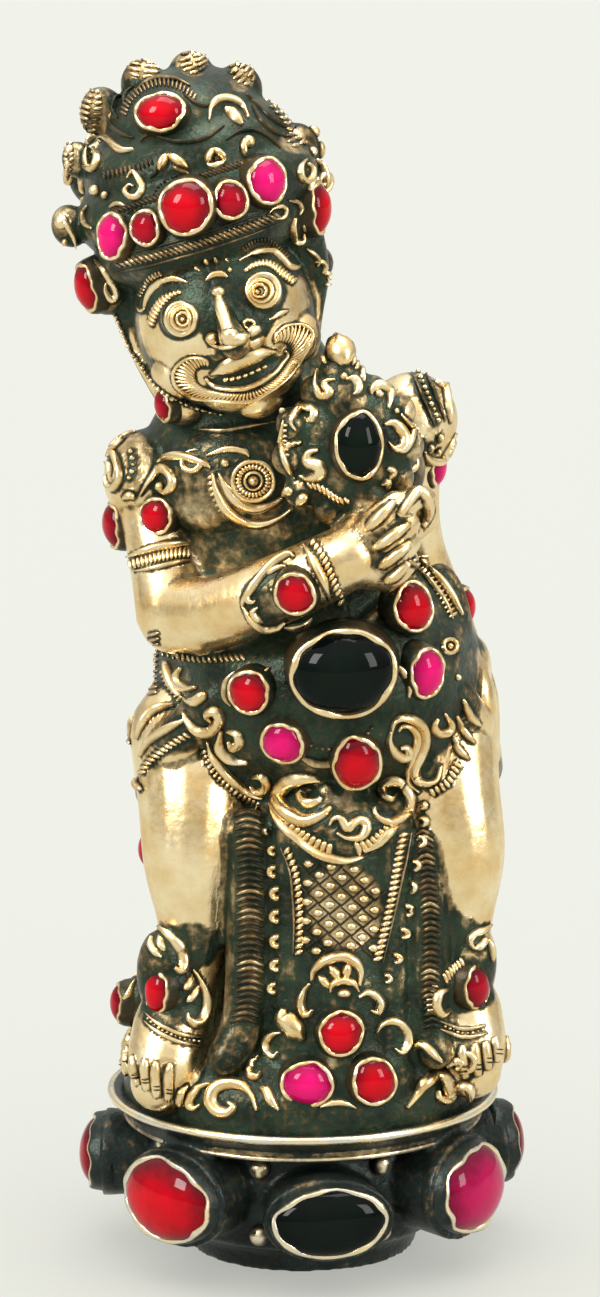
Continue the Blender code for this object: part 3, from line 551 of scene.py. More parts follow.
def fuseForms(mesh, name, voxel, smoothing):
    bmesh.ops.recalc_face_normals(mesh, faces=mesh.faces)
    data = bpy.data.meshes.new(name)
    mesh.to_mesh(data)
    mesh.free()
    piece = bpy.data.objects.new(name, data)
    bpy.context.scene.collection.objects.link(piece)
    remesh = piece.modifiers.new("skin", "REMESH")
    remesh.mode = "VOXEL"
    remesh.voxel_size = voxel * mm
    even = piece.modifiers.new("even", "SMOOTH")
    even.factor = 0.5
    even.iterations = smoothing
    fused = bmesh.new()
    fused.from_mesh(piece.evaluated_get(bpy.context.evaluated_depsgraph_get()).to_mesh())
    piece.modifiers.clear()
    loose = set(fused.verts)
    shells = []
    while loose:
        shell = {loose.pop()}
        edge = list(shell)
        while edge:
            found = {e.other_vert(v) for v in edge for e in v.link_edges} & loose
            loose -= found
            shell |= found
            edge = list(found)
        shells.append(shell)
    shells.sort(key=len)
    for shell in shells[:-1]:
        bmesh.ops.delete(fused, geom=list(shell), context="VERTS")
    fused.to_mesh(data)
    fused.free()
    data.polygons.foreach_set("use_smooth", np.ones(len(data.polygons), dtype=bool))
    print("fused", name, len(data.polygons), "faces")
    return piece


def meshArrays(data):
    count = len(data.vertices)
    places = np.empty(count * 3, np.float32)
    data.vertices.foreach_get("co", places)
    normals = np.empty(count * 3, np.float32)
    data.vertex_normals.foreach_get("vector", normals)
    edges = np.empty(len(data.edges) * 2, np.int32)
    data.edges.foreach_get("vertices", edges)
    return places.reshape(-1, 3).astype(np.float64), normals.reshape(-1, 3), edges.reshape(-1, 2)


def spreadOver(values, edges, rounds):
    # Averages each vertex with its neighbours, so many times over
    count = len(values)
    degree = np.bincount(edges.ravel(), minlength=count) + 1.0
    for _ in range(rounds):
        total = values.copy()
        for axis in range(values.shape[1]):
            column = values[:, axis]
            total[:, axis] += np.bincount(edges[:, 0], column[edges[:, 1]], count)
            total[:, axis] += np.bincount(edges[:, 1], column[edges[:, 0]], count)
        values = total / degree[:, None]
    return values


def hollowOf(data, rounds):
    # How far each vertex lies in a hollow, in millimetres
    places, normals, edges = meshArrays(data)
    return ((spreadOver(places, edges, rounds) - places) * normals).sum(axis=1) / mm


def setValues(data, name, values):
    layer = data.attributes.new(name, "FLOAT", "POINT")
    layer.data.foreach_set("value", np.asarray(values, np.float32))


# Finishes


def newMaterial(name):
    made = bpy.data.materials.new(name)
    made.use_nodes = True
    tree = made.node_tree
    return made, tree, tree.nodes["Principled BSDF"]


def addNode(tree, kind, **settings):
    node = tree.nodes.new(kind)
    for key, value in settings.items():
        if key in node.inputs:
            node.inputs[key].default_value = value
        else:
            setattr(node, key, value)
    return node


def ramp(tree, source, stops):
    node = tree.nodes.new("ShaderNodeValToRGB")
    line = node.color_ramp
    while len(line.elements) < len(stops):
        line.elements.new(0.5)
    for element, (place, value) in zip(line.elements, stops):
        element.position = place
        element.color = (value, value, value, 1.0) if isinstance(value, float) else (*value, 1.0)
    tree.links.new(source, node.inputs["Fac"])
    return node.outputs["Color"]


def mathNode(tree, operation, a, b, clamp=False):
    node = tree.nodes.new("ShaderNodeMath")
    node.operation = operation
    node.use_clamp = clamp
    for socket, value in zip(node.inputs, (a, b)):
        if isinstance(value, (int, float)):
            socket.default_value = value
        else:
            tree.links.new(value, socket)
    return node.outputs["Value"]


def mixColours(tree, factor, low, high):
    node = tree.nodes.new("ShaderNodeMix")
    node.data_type = "RGBA"
    sockets = [socket for socket in node.inputs if socket.type == "RGBA"]
    tree.links.new(factor, node.inputs["Factor"])
    for socket, value in zip(sockets, (low, high)):
        if isinstance(value, tuple):
            socket.default_value = (*value, 1.0)
        else:
            tree.links.new(value, socket)
    return next(socket for socket in node.outputs if socket.type == "RGBA")


def noiseNode(tree, scale, detail=4.0, rough=0.55):
    place = tree.nodes.new("ShaderNodeTexCoord")
    node = addNode(tree, "ShaderNodeTexNoise", Scale=scale, Detail=detail, Roughness=rough)
    tree.links.new(place.outputs["Object"], node.inputs["Vector"])
    return node.outputs["Fac"]


def bumpNode(tree, shader, height, strength, distance):
    node = addNode(tree, "ShaderNodeBump", Strength=strength, Distance=distance)
    tree.links.new(height, node.inputs["Height"])
    tree.links.new(node.outputs["Normal"], shader.inputs["Normal"])


metal = {
    "gold": (0.77, 0.54, 0.24),
    "paleGold": (0.93, 0.77, 0.48),
    "brownGold": (0.24, 0.135, 0.045),
    "patina": (0.007, 0.014, 0.008),
    "greenPatina": (0.026, 0.046, 0.027),
    "brownPatina": (0.060, 0.038, 0.016),
    "silver": (0.74, 0.70, 0.58),
    "goldRough": 0.30,
    "patinaRough": 0.33,
}


def makeGilt(name, bright, dark, hammered=0.25, mottle=0.9):
    # Gilt metal whose stored value says how bare of patina it is, lowered in places as painted shade
    made, tree, shader = newMaterial(name)
    gilt = addNode(tree, "ShaderNodeAttribute", attribute_name="gilt").outputs["Fac"]
    coarse = noiseNode(tree, 230.0, 5.0)
    fine = noiseNode(tree, 1300.0, 4.0)
    calm = mathNode(tree, "SUBTRACT", 1.15, mathNode(tree, "MULTIPLY", gilt, 0.8))
    spread = mathNode(tree, "MULTIPLY", mathNode(tree, "SUBTRACT", coarse, 0.5), mottle)
    grain = mathNode(tree, "MULTIPLY", mathNode(tree, "SUBTRACT", fine, 0.5), 0.5)
    wearAndShade = mathNode(tree, "ADD", gilt, mathNode(tree, "MULTIPLY", mathNode(tree, "ADD", spread, grain), calm))
    share = ramp(tree, wearAndShade, [(0.30, 0.0), (0.46, 0.45), (0.68, 1.0)])
    goldTone = mixColours(tree, ramp(tree, coarse, [(0.35, 0.0), (0.65, 1.0)]), *bright)
    edgeTone = mixColours(tree, ramp(tree, wearAndShade, [(0.36, 0.0), (0.74, 1.0)]), metal["brownGold"], goldTone)
    patinaTone = mixColours(tree, ramp(tree, coarse, [(0.36, 0.0), (0.66, 1.0)]), *dark)
    patinaTone = mixColours(tree, ramp(tree, fine, [(0.5, 0.0), (0.72, 0.55)]), patinaTone, metal["brownPatina"])
    tree.links.new(mixColours(tree, share, patinaTone, edgeTone), shader.inputs["Base Color"])
    rough = mathNode(tree, "ADD", mathNode(tree, "MULTIPLY", share, metal["goldRough"] - metal["patinaRough"]), metal["patinaRough"])
    rough = mathNode(tree, "ADD", rough, mathNode(tree, "MULTIPLY", mathNode(tree, "SUBTRACT", fine, 0.5), 0.3))
    tree.links.new(rough, shader.inputs["Roughness"])
    tree.links.new(mathNode(tree, "ADD", mathNode(tree, "MULTIPLY", share, 0.68), 0.32), shader.inputs["Metallic"])
    shader.inputs["Specular IOR Level"].default_value = 0.2
    uneven = mathNode(tree, "ADD", coarse, mathNode(tree, "MULTIPLY", fine, 0.6))
    flat = mathNode(tree, "SUBTRACT", 1.0, mathNode(tree, "MULTIPLY", share, 0.72))
    bumpNode(tree, shader, mathNode(tree, "MULTIPLY", uneven, flat), hammered, 0.0006)
    return made


def makeStone(name, bright, deep, roughness=0.07, reflect=0.17):
    # A polished stone with faint clouds, brighter at its crest and in its lower half as a painted glow of light through
    # it, and deeper in colour towards its rim as painted shade
    made, tree, shader = newMaterial(name)
    heart = addNode(tree, "ShaderNodeAttribute", attribute_name="heart").outputs["Fac"]
    clouds = noiseNode(tree, 420.0, 3.0)
    share = mathNode(tree, "ADD", heart, mathNode(tree, "MULTIPLY", mathNode(tree, "SUBTRACT", clouds, 0.5), 0.9))
    tree.links.new(mixColours(tree, ramp(tree, share, [(0.05, 0.0), (0.9, 1.0)]), deep, bright), shader.inputs["Base Color"])
    shader.inputs["Roughness"].default_value = roughness
    shader.inputs["IOR"].default_value = 1.5
    shader.inputs["Specular IOR Level"].default_value = reflect
    return made


finishes = {
    "gilt": makeGilt("giltMetal", (metal["gold"], metal["paleGold"]), (metal["patina"], metal["greenPatina"]), 0.5),
    "ridge": makeGilt("raisedGilt", (metal["gold"], metal["paleGold"]), (metal["patina"], metal["brownPatina"]), 0.2, 0.45),
    "silver": makeGilt("blackenedSilver", (metal["silver"], metal["paleGold"]), ((0.008, 0.013, 0.012), (0.020, 0.031, 0.028)), 0.3),
    "red": makeStone("redStone", (0.43, 0.0, 0.006), (0.09, 0.0, 0.004)),
    "pink": makeStone("pinkStone", (0.58, 0.004, 0.12), (0.20, 0.0, 0.04)),
    "rose": makeStone("roseStone", (0.40, 0.006, 0.07), (0.12, 0.0, 0.02)),
    "wine": makeStone("darkRedStone", (0.30, 0.001, 0.010), (0.06, 0.0, 0.003)),
    "black": makeStone("blackStone", (0.003, 0.006, 0.004), (0.001, 0.002, 0.002), 0.04, 0.09),
}


def newPiece(mesh, name, material, smooth=True):
    bmesh.ops.recalc_face_normals(mesh, faces=mesh.faces)
    data = bpy.data.meshes.new(name)
    mesh.to_mesh(data)
    mesh.free()
    data.materials.append(material)
    if smooth:
        data.polygons.foreach_set("use_smooth", np.ones(len(data.polygons), dtype=bool))
    piece = bpy.data.objects.new(name, data)
    bpy.context.scene.collection.objects.link(piece)
    return piece


# The skin of the figure, in three pieces that run into each other

skins = {
    "lowerFigure": {"voxel": 0.45, "smoothing": 3},
    "trunkAndArms": {"voxel": 0.42, "smoothing": 3},
    "headAndCrown": {"voxel": 0.30, "smoothing": 3},
}

allForms = bmesh.new()
addLowerForms(allForms)
addTrunkForms(allForms)
addHeadForms(allForms)
roughSkin = BVHTree.FromBMesh(allForms)
allForms.free()

lowerForms = bmesh.new()
addLowerForms(lowerForms)
trunkForms = bmesh.new()
addTrunkForms(trunkForms)
addPlate(trunkForms, roughSkin, apron)
headForms = bmesh.new()
addHeadForms(headForms)

skinPieces = {
    name: fuseForms(mesh, name, skins[name]["voxel"], skins[name]["smoothing"])
    for name, mesh in (("lowerFigure", lowerForms), ("trunkAndArms", trunkForms), ("headAndCrown", headForms))
}


def joinedTree(pieces):
    places = []
    faces = []
    for piece in pieces:
        start = len(places)
        places.extend(vertex.co for vertex in piece.data.vertices)
        faces.extend([start + k for k in face.vertices] for face in piece.data.polygons)
    return BVHTree.FromPolygons(places, faces)


skin = joinedTree(skinPieces.values())
print("skin is ready")


# Raised ornament. A relief is a mesh with a "gilt" value, laid on the skin along lines of pixels, seen
# from the front or from a turn about the axis. Widths are in pixels and rises in millimetres.

ridgeShape = [
    (-1.0, -0.5, 0.0), (-0.94, 0.25, 0.5), (-0.58, 0.8, 0.95), (0.0, 1.0, 1.0), (0.58, 0.8, 0.95),
    (0.94, 0.25, 0.5), (1.0, -0.5, 0.0),
]
ridgeBreadth = 1.55  # of the measured bright lines, whose sides are in shade
ridgeLift = 1.25
longestStep = 2.6 * mm


def newRelief():
    mesh = bmesh.new()
    return mesh, mesh.verts.layers.float.new("gilt")


def softStep(t):
    t = min(1.0, max(0.0, t))
    return t * t * (3 - 2 * t)


def layRidge(relief, stations, width, rise, bright, ends, closed):
    mesh, layer = relief
    count = len(stations)
    sections = []
    for i, (point, normal) in enumerate(stations):
        if closed:
            before, after = stations[i - 1][0], stations[(i + 1) % count][0]
            share = 1.0
        else:
            before, after = stations[max(i - 1, 0)][0], stations[min(i + 1, count - 1)][0]
            t = i / (count - 1)
            share = ends[0] + (1 - ends[0]) * softStep(t / 0.35)
            share = min(share, ends[1] + (1 - ends[1]) * softStep((1 - t) / 0.35))
        side = (after - before).cross(normal)
        if side.length > 1e-9:
            sections.append((point, normal, side.normalized(), share))
    if len(sections) < 2:
        return
    rows = []
    for point, normal, side, share in sections:
        half = 0.5 * ridgeBreadth * width * picture["pixel"] * share
        high = ridgeLift * rise * mm * math.sqrt(share)
        row = []
        for x, z, value in ridgeShape:
            vertex = mesh.verts.new(point + side * (x * half) + normal * (z * high))
            vertex[layer] = bright * (0.1 + 0.9 * value)
            row.append(vertex)
        rows.append(row)
    sides = len(ridgeShape)
    links = list(zip(rows, rows[1:]))
    if closed:
        links.append((rows[-1], rows[0]))
    else:
        mesh.faces.new(rows[0])
        mesh.faces.new(rows[-1][::-1])
    for near, far in links:
        for n in range(sides):
            m = (n + 1) % sides
            mesh.faces.new((near[n], near[m], far[m], far[n]))


def addRidge(relief, pixels, width, rise=0.35, bright=1.0, turn=0.0, ends=(0.3, 0.3), steps=4, closed=False):
    if steps and len(pixels) > 2:
        line = pixels + [pixels[0], pixels[1]] if closed else pixels
        made = smoothLine(line, steps)
        pixels = made[: -steps - 1] if closed else made
    runs = [[]]
    for u, v in pixels:
        point, normal = touch(skin, u, v, turn)
        if runs[-1]:
            gap = (point - runs[-1][-1][0]).length
            if gap < 0.08 * mm:
                continue
            if gap > longestStep:
                runs.append([])
        runs[-1].append((point, normal))
    for run in runs:
        if len(run) > 2 or (len(run) == 2 and len(pixels) < 4):
            layRidge(relief, run, width, rise, bright, ends, closed and len(runs) == 1)


def arc(u, v, ru, rv, start, end, count=12, lean=0.0):
    # Pixels along an ellipse, with angles in degrees anticlockwise from its right
    made = []
    c, s = math.cos(math.radians(lean)), math.sin(math.radians(lean))
    for i in range(count + 1):
        a = math.radians(start + (end - start) * i / count)
        x, y = ru * math.cos(a), rv * math.sin(a)
        made.append((u + x * c - y * s, v - x * s - y * c))
    return made


def addRound(relief, u, v, ru, rv, width, rise=0.35, bright=1.0, turn=0.0, lean=0.0):
    count = max(10, int(ru * 1.6))
    addRidge(relief, arc(u, v, ru, rv, 0, 360, count, lean)[:-1], width, rise, bright, turn, steps=0, closed=True)


def addDome(relief, u, v, ru, rv, rise=0.5, bright=1.0, turn=0.0, lean=0.0):
    mesh, layer = relief
    point, normal = touch(skin, u, v, turn)
    across, up, _ = viewAxes(turn)
    c, s = math.cos(math.radians(lean)), math.sin(math.radians(lean))
    along = across * c + up * s
    along = (along - normal * along.dot(normal)).normalized()
    turned = Matrix((along, normal.cross(along), normal)).transposed().to_4x4()
    pixel = picture["pixel"] / mm
    for vertex in addBall(mesh, point, (ru * pixel, rv * pixel, rise), turned, 14, 10):
        high = (vertex.co - point).dot(normal) / (rise * mm)
        vertex[layer] = bright * (0.2 + 0.8 * max(0.0, high) ** 0.6)


def scroll(u, v, radius, start, turns, hand=1, squeeze=1.0):
    # Pixels that wind in from the outer end of a scroll to its eye
    count = max(7, int(abs(turns) * 12))
    made = []
    for i in range(count + 1):
        t = i / count
        a = math.radians(start) + hand * t * turns * math.tau
        r = radius * (1 - 0.78 * t)
        made.append((u + r * math.cos(a), v - squeeze * r * math.sin(a)))
    return made


def addScroll(relief, u, v, radius, start, turns, hand=1, width=3.4, rise=0.42, bright=1.0, turn=0.0, tail=()):
    line = list(tail) + scroll(u, v, radius, start, turns, hand)
    addRidge(relief, line, width, rise, bright, turn, (0.25, 0.7), 2)
    endU, endV = line[-1]
    addDome(relief, endU, endV, 0.62 * width, 0.62 * width, 1.25 * rise, bright, turn)


def pointAlong(points, share):
    spans = [math.dist(a, b) for a, b in zip(points, points[1:])]
    left = share * sum(spans)
    for (a, b), span in zip(zip(points, points[1:]), spans):
        if left <= span:
            t = left / max(span, 1e-6)
            return tuple(p + (q - p) * t for p, q in zip(a, b))
        left -= span
    return tuple(points[-1])


def addHatch(relief, first, second, count, width=2.0, rise=0.22, bright=0.9, turn=0.0, bend=0.0):
    # Short strokes from one line across to another
    first = smoothLine(first, 4)
    second = smoothLine(second, 4)
    for k in range(count):
        share = (k + 0.5) / count
        a = pointAlong(first, share)
        b = pointAlong(second, share)
        middle = ((a[0] + b[0]) / 2 - bend * (b[1] - a[1]), (a[1] + b[1]) / 2 + bend * (b[0] - a[0]))
        addRidge(relief, [a, middle, b], width, rise, bright, turn, (0.5, 0.3), 2)


def besides(points, away):
    # A line beside another one, so many pixels to its left
    made = []
    last = len(points) - 1
    for i, (u, v) in enumerate(points):
        (u0, v0), (u1, v1) = points[max(i - 1, 0)], points[min(i + 1, last)]
        length = max(1e-6, math.dist((u0, v0), (u1, v1)))
        made.append((u + (v1 - v0) / length * away, v - (u1 - u0) / length * away))
    return made


def addRope(relief, pixels, width, pitch, rise=0.25, bright=0.8, slant=0.5, turn=0.0):
    line = smoothLine(pixels, 4)
    length = sum(math.dist(a, b) for a, b in zip(line, line[1:]))
    left = besides(line, 0.5 * width)
    right = besides(line, -0.5 * width)
    count = max(1, int(length / pitch))
    for k in range(count):
        share = (k + 0.5) / count
        lean = slant * width / max(length, 1.0)
        a = pointAlong(left, min(1.0, max(0.0, share - lean)))
        b = pointAlong(right, min(1.0, max(0.0, share + lean)))
        addRidge(relief, [a, ((a[0] + b[0]) / 2, (a[1] + b[1]) / 2), b], 0.62 * pitch, rise, bright, turn, (0.5, 0.5), 0)


def addBeads(relief, pixels, radius, pitch, rise=0.4, bright=0.9, turn=0.0):
    line = smoothLine(pixels, 4)
    length = sum(math.dist(a, b) for a, b in zip(line, line[1:]))
    count = max(2, int(length / pitch))
    for k in range(count):
        u, v = pointAlong(line, (k + 0.5) / count)
        uneven = 1 + 0.25 * math.sin(2.4 * k)
        addDome(relief, u, v, radius * uneven, 0.85 * radius * uneven, rise, bright, turn)


def addAll(relief, strokes, plump=1.0):
    # Plain ridges: (width, rise, bright, pixels)
    for width, rise, bright, *pixels in strokes:
        addRidge(relief, pixels, plump * width, plump * rise, bright)


# The face

face = {
    "brows": [
        (5.4, 0.5, 1.0, (145, 308), (147.5, 299), (154, 288), (164, 280.5), (173.5, 278.4), (182, 280.5), (188, 283)),
        (2.6, 0.3, 0.9, (137, 306), (141, 310.7), (145.4, 308.6)),
        (5.4, 0.5, 1.0, (239.4, 261.6), (249.3, 253.2), (260.5, 250), (271.7, 251), (281.5, 259.5), (288.6, 266.8),
         (297, 268), (299, 265.8)),
        (5.0, 0.45, 1.0, (205.8, 281.2), (212.8, 274.9), (221.2, 274.2), (227.5, 277.7)),
        (3.0, 0.3, 1.0, (194.5, 266.5), (197, 269), (199.5, 272)),
        (3.0, 0.3, 1.0, (204.4, 258.8), (206, 262), (208, 265)),
        (3.0, 0.3, 0.6, (214.2, 257), (215.6, 260.5), (217, 264.4)),
        (3.0, 0.3, 1.0, (225.4, 258), (227, 261), (228.2, 263.7)),
        (3.0, 0.3, 0.8, (228.6, 267), (229.6, 270), (230.6, 273)),
        (3.2, 0.25, 0.9, (269, 319.8), (278.7, 314.2), (288, 310.7)),
    ],
    "hair": [
        ([(137.7, 296), (142.6, 284.7), (149.6, 274.9), (160.2, 270.7)],
         [(141, 298), (146, 289.5), (153.4, 279.5), (162.6, 275)], 10, 0.6),
        ([(240.8, 247.5), (253.5, 239.8), (267.5, 238.4), (278.7, 245.4), (290, 256.5)],
         [(243, 251.5), (254.5, 244.5), (266.5, 243.4), (276.5, 249.4), (286, 259.5)], 17, 0.4),
    ],
    "lashes": [
        ([(147.5, 321.2), (152.4, 308.6), (160.9, 297.3), (170.7, 292.4), (181, 290)],
         [(153.9, 326.8), (158.8, 315.6), (163.3, 306.8), (171.7, 298.3), (182, 294)], 12),
        ([(243.7, 270), (252, 263), (264.7, 260.2), (275.9, 264.4), (285.7, 272), (297, 280)],
         [(246.5, 273), (253.5, 268.9), (264.7, 266.9), (274, 271.2), (282, 278.4), (291.4, 285)], 16),
    ],
    "eyes": [(181.9, 318.7, 0.0, 0.0), (258.6, 291.7, 4.2, -1.0)],
    "eyeRings": ((14.4, 4.4, 0.5), (9.2, 3.0, 0.7), (5.0, 2.2, 0.9)),  # radius, width, rise
    "whiskersOut": [
        (209, 361), (199, 357.6), (188, 358.5), (178, 365), (173, 375), (176, 386.5), (189.5, 395), (208, 399),
        (235.7, 401), (254, 399), (272.7, 388), (287.5, 376.5), (300.4, 360), (309.5, 343.5), (311, 332), (302, 325.4),
        (287, 325.4), (277, 332), (273.5, 340),
    ],
    "whiskersIn": [
        (209, 366), (203, 365.5), (196.5, 370), (195, 377), (199, 384.5), (209, 389.5), (222, 392.2), (236, 393.2),
        (249, 392.2), (263.5, 386), (277, 376), (287, 363), (291.5, 350), (289, 344), (283, 341.5), (278, 341.5),
        (275, 342.5), (274, 343), (273, 343.5),
    ],
    "lowerLip": [
        (206, 377.6), (211, 383.2), (220, 387.4), (233, 388.8), (246, 387.6), (260, 382), (273, 373), (282.5, 362),
        (286.8, 354), (284, 350.6),
    ],
    "upperLip": [(211, 374), (222, 368.6), (234, 362.6), (248, 357.2), (262, 353), (276, 351.6)],
    "teeth": [
        (225.5, 379.0), (232.0, 378.4), (238.6, 377.4), (245.2, 375.4), (251.6, 372.8), (258.0, 369.8), (264.2, 366.8),
    ],
    "leftHairLine": [
        (116, 314), (119, 322), (126, 338), (132, 352), (141, 364), (149, 376), (157, 386), (168, 394), (181, 402),
        (194, 407), (209, 412), (224, 415),
    ],
    "rightHairLine": [(327, 277), (328, 288), (329.5, 298), (329, 308), (330, 316)],
}


def makeFaceRelief():
    relief = newRelief()
    addAll(relief, face["brows"])
    for first, second, count, bright in face["hair"]:
        addHatch(relief, first, second, count, 2.4, 0.22, bright)
    for first, second, count in face["lashes"]:
        addHatch(relief, first, second, count, 3.4, 0.34, 0.95, bend=0.12)
    for u, v, awayU, awayV in face["eyes"]:
        for radius, width, rise in face["eyeRings"]:
            share = radius / face["eyeRings"][0][0]
            addRound(relief, u + awayU * share, v + awayV * share, radius, radius, width, rise)
        addDome(relief, u, v, 2.7, 2.7, 1.15)
    # Bridge, nostrils
    addDome(relief, 218, 292, 7.0, 5.6, 0.8)
    addRidge(relief, [(218, 296), (221, 308), (225, 321), (229, 334)], 8.4, 0.6, 1.0, ends=(0.6, 1.0))
    addDome(relief, 212.8, 338.4, 7.4, 6.4, 1.0)
    addDome(relief, 230, 336, 9.4, 8.2, 1.3)
    addRidge(relief, [(226, 340), (238, 339.5), (248, 335), (255, 329.5), (257.5, 327)], 8.5, 0.75, 1.0, ends=(0.8, 0.55))
    addRound(relief, 248.2, 324.2, 5.6, 4.6, 2.6, 0.45, 0.75)
    addRidge(relief, [(209, 344), (219, 347.5), (231, 346.6), (243, 342.5)], 3.0, 0.35)
    # Mouth
    addRidge(relief, face["upperLip"], 12.5, 0.75, 1.0, ends=(0.12, 0.12))
    addRidge(relief, face["lowerLip"], 3.4, 0.5, 1.0, ends=(0.5, 0.4))
    for u, v in face["teeth"]:
        addDome(relief, u, v, 3.1, 2.5, 0.45, lean=18)
    addRidge(relief, face["whiskersOut"], 3.0, 0.4, 1.0, ends=(0.6, 0.4))
    addHatch(relief, face["whiskersOut"], face["whiskersIn"], 62, 2.2, 0.34, 0.95, bend=-0.1)
    # Beaded hair beside the face
    addBeads(relief, face["leftHairLine"], 2.3, 5.2, 0.55, 0.85)
    for k, (u, v) in enumerate(face["rightHairLine"]):
        addScroll(relief, u, v, 4.6, 150, 0.7, -1, 3.0, 0.5, 0.95)
    return newPiece(relief[0], "faceRelief", finishes["ridge"])


# The crown

crownStrokes = [
    # S scroll at the left, loop and curls
    (4.0, 0.5, 1.0, (134, 149.6), (124, 151), (116, 147), (109, 139.5), (101, 135), (91, 139.5), (84.5, 150), (84, 160),
     (89, 168), (96, 167), (98.5, 157), (94, 150.5), (90, 154)),
    (4.0, 0.45, 0.9, (209, 121), (210, 109), (216, 100.5), (226, 98.4), (236, 101.5), (243, 108), (248, 118)),
    (6.5, 0.5, 1.0, (224, 108), (231, 113), (236, 119), (242, 125)),
    (2.2, 0.25, 0.05, (184, 95), (192, 101), (201, 105.5), (208, 105), (214, 100)),
    (4.0, 0.4, 0.9, (95, 260), (104, 269), (111, 281), (116, 294), (111, 299), (105.5, 291), (106, 283)),
    (3.0, 0.35, 0.6, (288, 200), (296, 202), (300, 209), (298, 215)),
    # Small leaves over the stones
    (5.0, 0.6, 1.0, (160, 171), (163, 162), (168, 155)),
    (5.0, 0.5, 1.0, (168, 155), (177, 160), (188, 168)),
    (3.0, 0.3, 0.5, (172, 166), (180, 170), (189, 174)),
    (4.0, 0.6, 1.0, (206, 163), (209, 155), (213, 149)),
    (4.0, 0.6, 1.0, (213, 149), (220, 154), (226, 159)),
    (4.0, 0.5, 0.9, (206, 163), (215, 167), (226, 159)),
    (3.4, 0.5, 0.9, (128, 178), (133, 171), (138, 176), (143, 186), (140, 196), (132, 198), (126, 192), (130, 184), (135, 186)),
    (4.0, 0.4, 0.7, (244, 138), (243, 148), (245, 157)),
    (3.2, 0.4, 0.9, (60, 214), (66, 224), (73, 236), (75, 247), (69, 252), (64, 246), (66, 239)),
    (3.4, 0.5, 1.0, (305, 160), (300, 166), (299, 175), (304, 181), (310, 177), (311, 168), (307, 164)),
    (4.0, 0.5, 0.9, (316, 160), (322, 168), (325, 178), (324, 188)),
    (3.8, 0.5, 1.0, (294, 218), (291.6, 226), (292.5, 236), (297.5, 242), (303.5, 240), (303.5, 233)),
    (3.0, 0.4, 0.7, (306, 248), (312, 253), (318, 260), (316, 267)),
    (3.0, 0.4, 0.9, (314, 262), (321, 262), (324, 268), (321, 274)),
    # Curls of hair over the brow band
    (2.6, 0.3, 0.35, (140, 142), (150, 134), (162, 130), (176, 131)),
    (2.6, 0.3, 0.5, (136, 92), (146, 83), (160, 79), (176, 80), (190, 86)),
    (2.2, 0.25, 0.4, (124, 104), (126, 94), (134, 86)),
    (2.6, 0.3, 0.26, (150, 134), (170, 141), (190, 142), (208, 137), (224, 126)),
    (2.6, 0.3, 0.24, (252, 106), (260, 120), (272, 131), (286, 137)),
    (2.4, 0.3, 0.3, (246, 94), (258, 106), (270, 118), (284, 126), (296, 128)),
    (2.4, 0.3, 0.24, (106, 116), (112, 126), (122, 134), (134, 138)),
    (2.4, 0.3, 0.22, (226, 140), (238, 132), (252, 130), (266, 136), (280, 148)),
    (2.4, 0.3, 0.3, (118, 118), (112, 108), (114, 98), (122, 96)),
    (2.4, 0.3, 0.25, (150, 178), (156, 172), (158, 164)),
    (2.6, 0.3, 0.35, (240, 162), (246, 168), (256, 166), (262, 158)),
    (2.6, 0.35, 0.7, (268, 214), (273, 208), (280, 206), (285, 211), (282, 218), (276, 219)),
    (2.6, 0.35, 0.6, (88, 206), (84, 214), (86, 224), (93, 228)),
    (2.6, 0.35, 0.6, (110, 208), (118, 204), (126, 206)),
]
crownDomes = [
    (96, 190, 6.6, 6.0, 0.9, 1.0), (106, 196, 4.4, 4.2, 0.7, 0.8), (248, 142, 6.6, 7.0, 0.9, 0.85),
    (61.5, 222, 7.5, 7.5, 0.7, 1.0), (69, 150, 5.0, 6.0, 0.5, 0.9), (68, 164, 4.0, 5.0, 0.5, 0.8),
    (297, 136, 9.0, 8.0, 0.8, 0.9), (316, 130, 7.0, 6.0, 0.7, 0.9), (312, 152, 5.0, 6.0, 0.7, 0.9),
    (216, 158.6, 3.0, 3.0, 0.5, 0.3), (324, 150, 5.0, 9.0, 0.6, 0.8),
]
crownBack = {"turns": (78, 114, 150, 186, 222, 258), "locks": range(96, 265, 12), "front": 3.0}
# Hatched lobes of the crown: middle, half sizes and lean of the hatch
crownLobes = [
    (91, 112, 11, 24, 10), (142, 67, 19, 11, 10), (194, 61, 16, 13, -25), (243, 72, 12, 14, -40), (69, 156, 5, 15, 0),
    (296, 138, 10, 9, -30),
]


def addHatchedLobe(relief, u, v, ru, rv, lean, turn=0.0, bright=0.85):
    # Rows of short curved strokes over a lobe, like combed locks
    c, s = math.cos(math.radians(lean)), math.sin(math.radians(lean))
    rows = max(3, int(rv / 2.5))
    for row in range(rows):
        y = rv * (2 * (row + 0.5) / rows - 1)
        half = ru * math.sqrt(max(0.05, 1 - (y / rv) ** 2))
        for side in (-1, 1):
            line = []
            for t in (0.1, 0.5, 0.95):
                x = side * half * t
                line.append((u + x * c - (y - 2.4 * t * t) * s, v + x * s + (y - 2.4 * t * t + 1.6) * c))
            addRidge(relief, line, 2.7, 0.3, bright * (0.75 + 0.25 * math.sin(7 * row + side)), turn, (0.5, 0.3), 2)


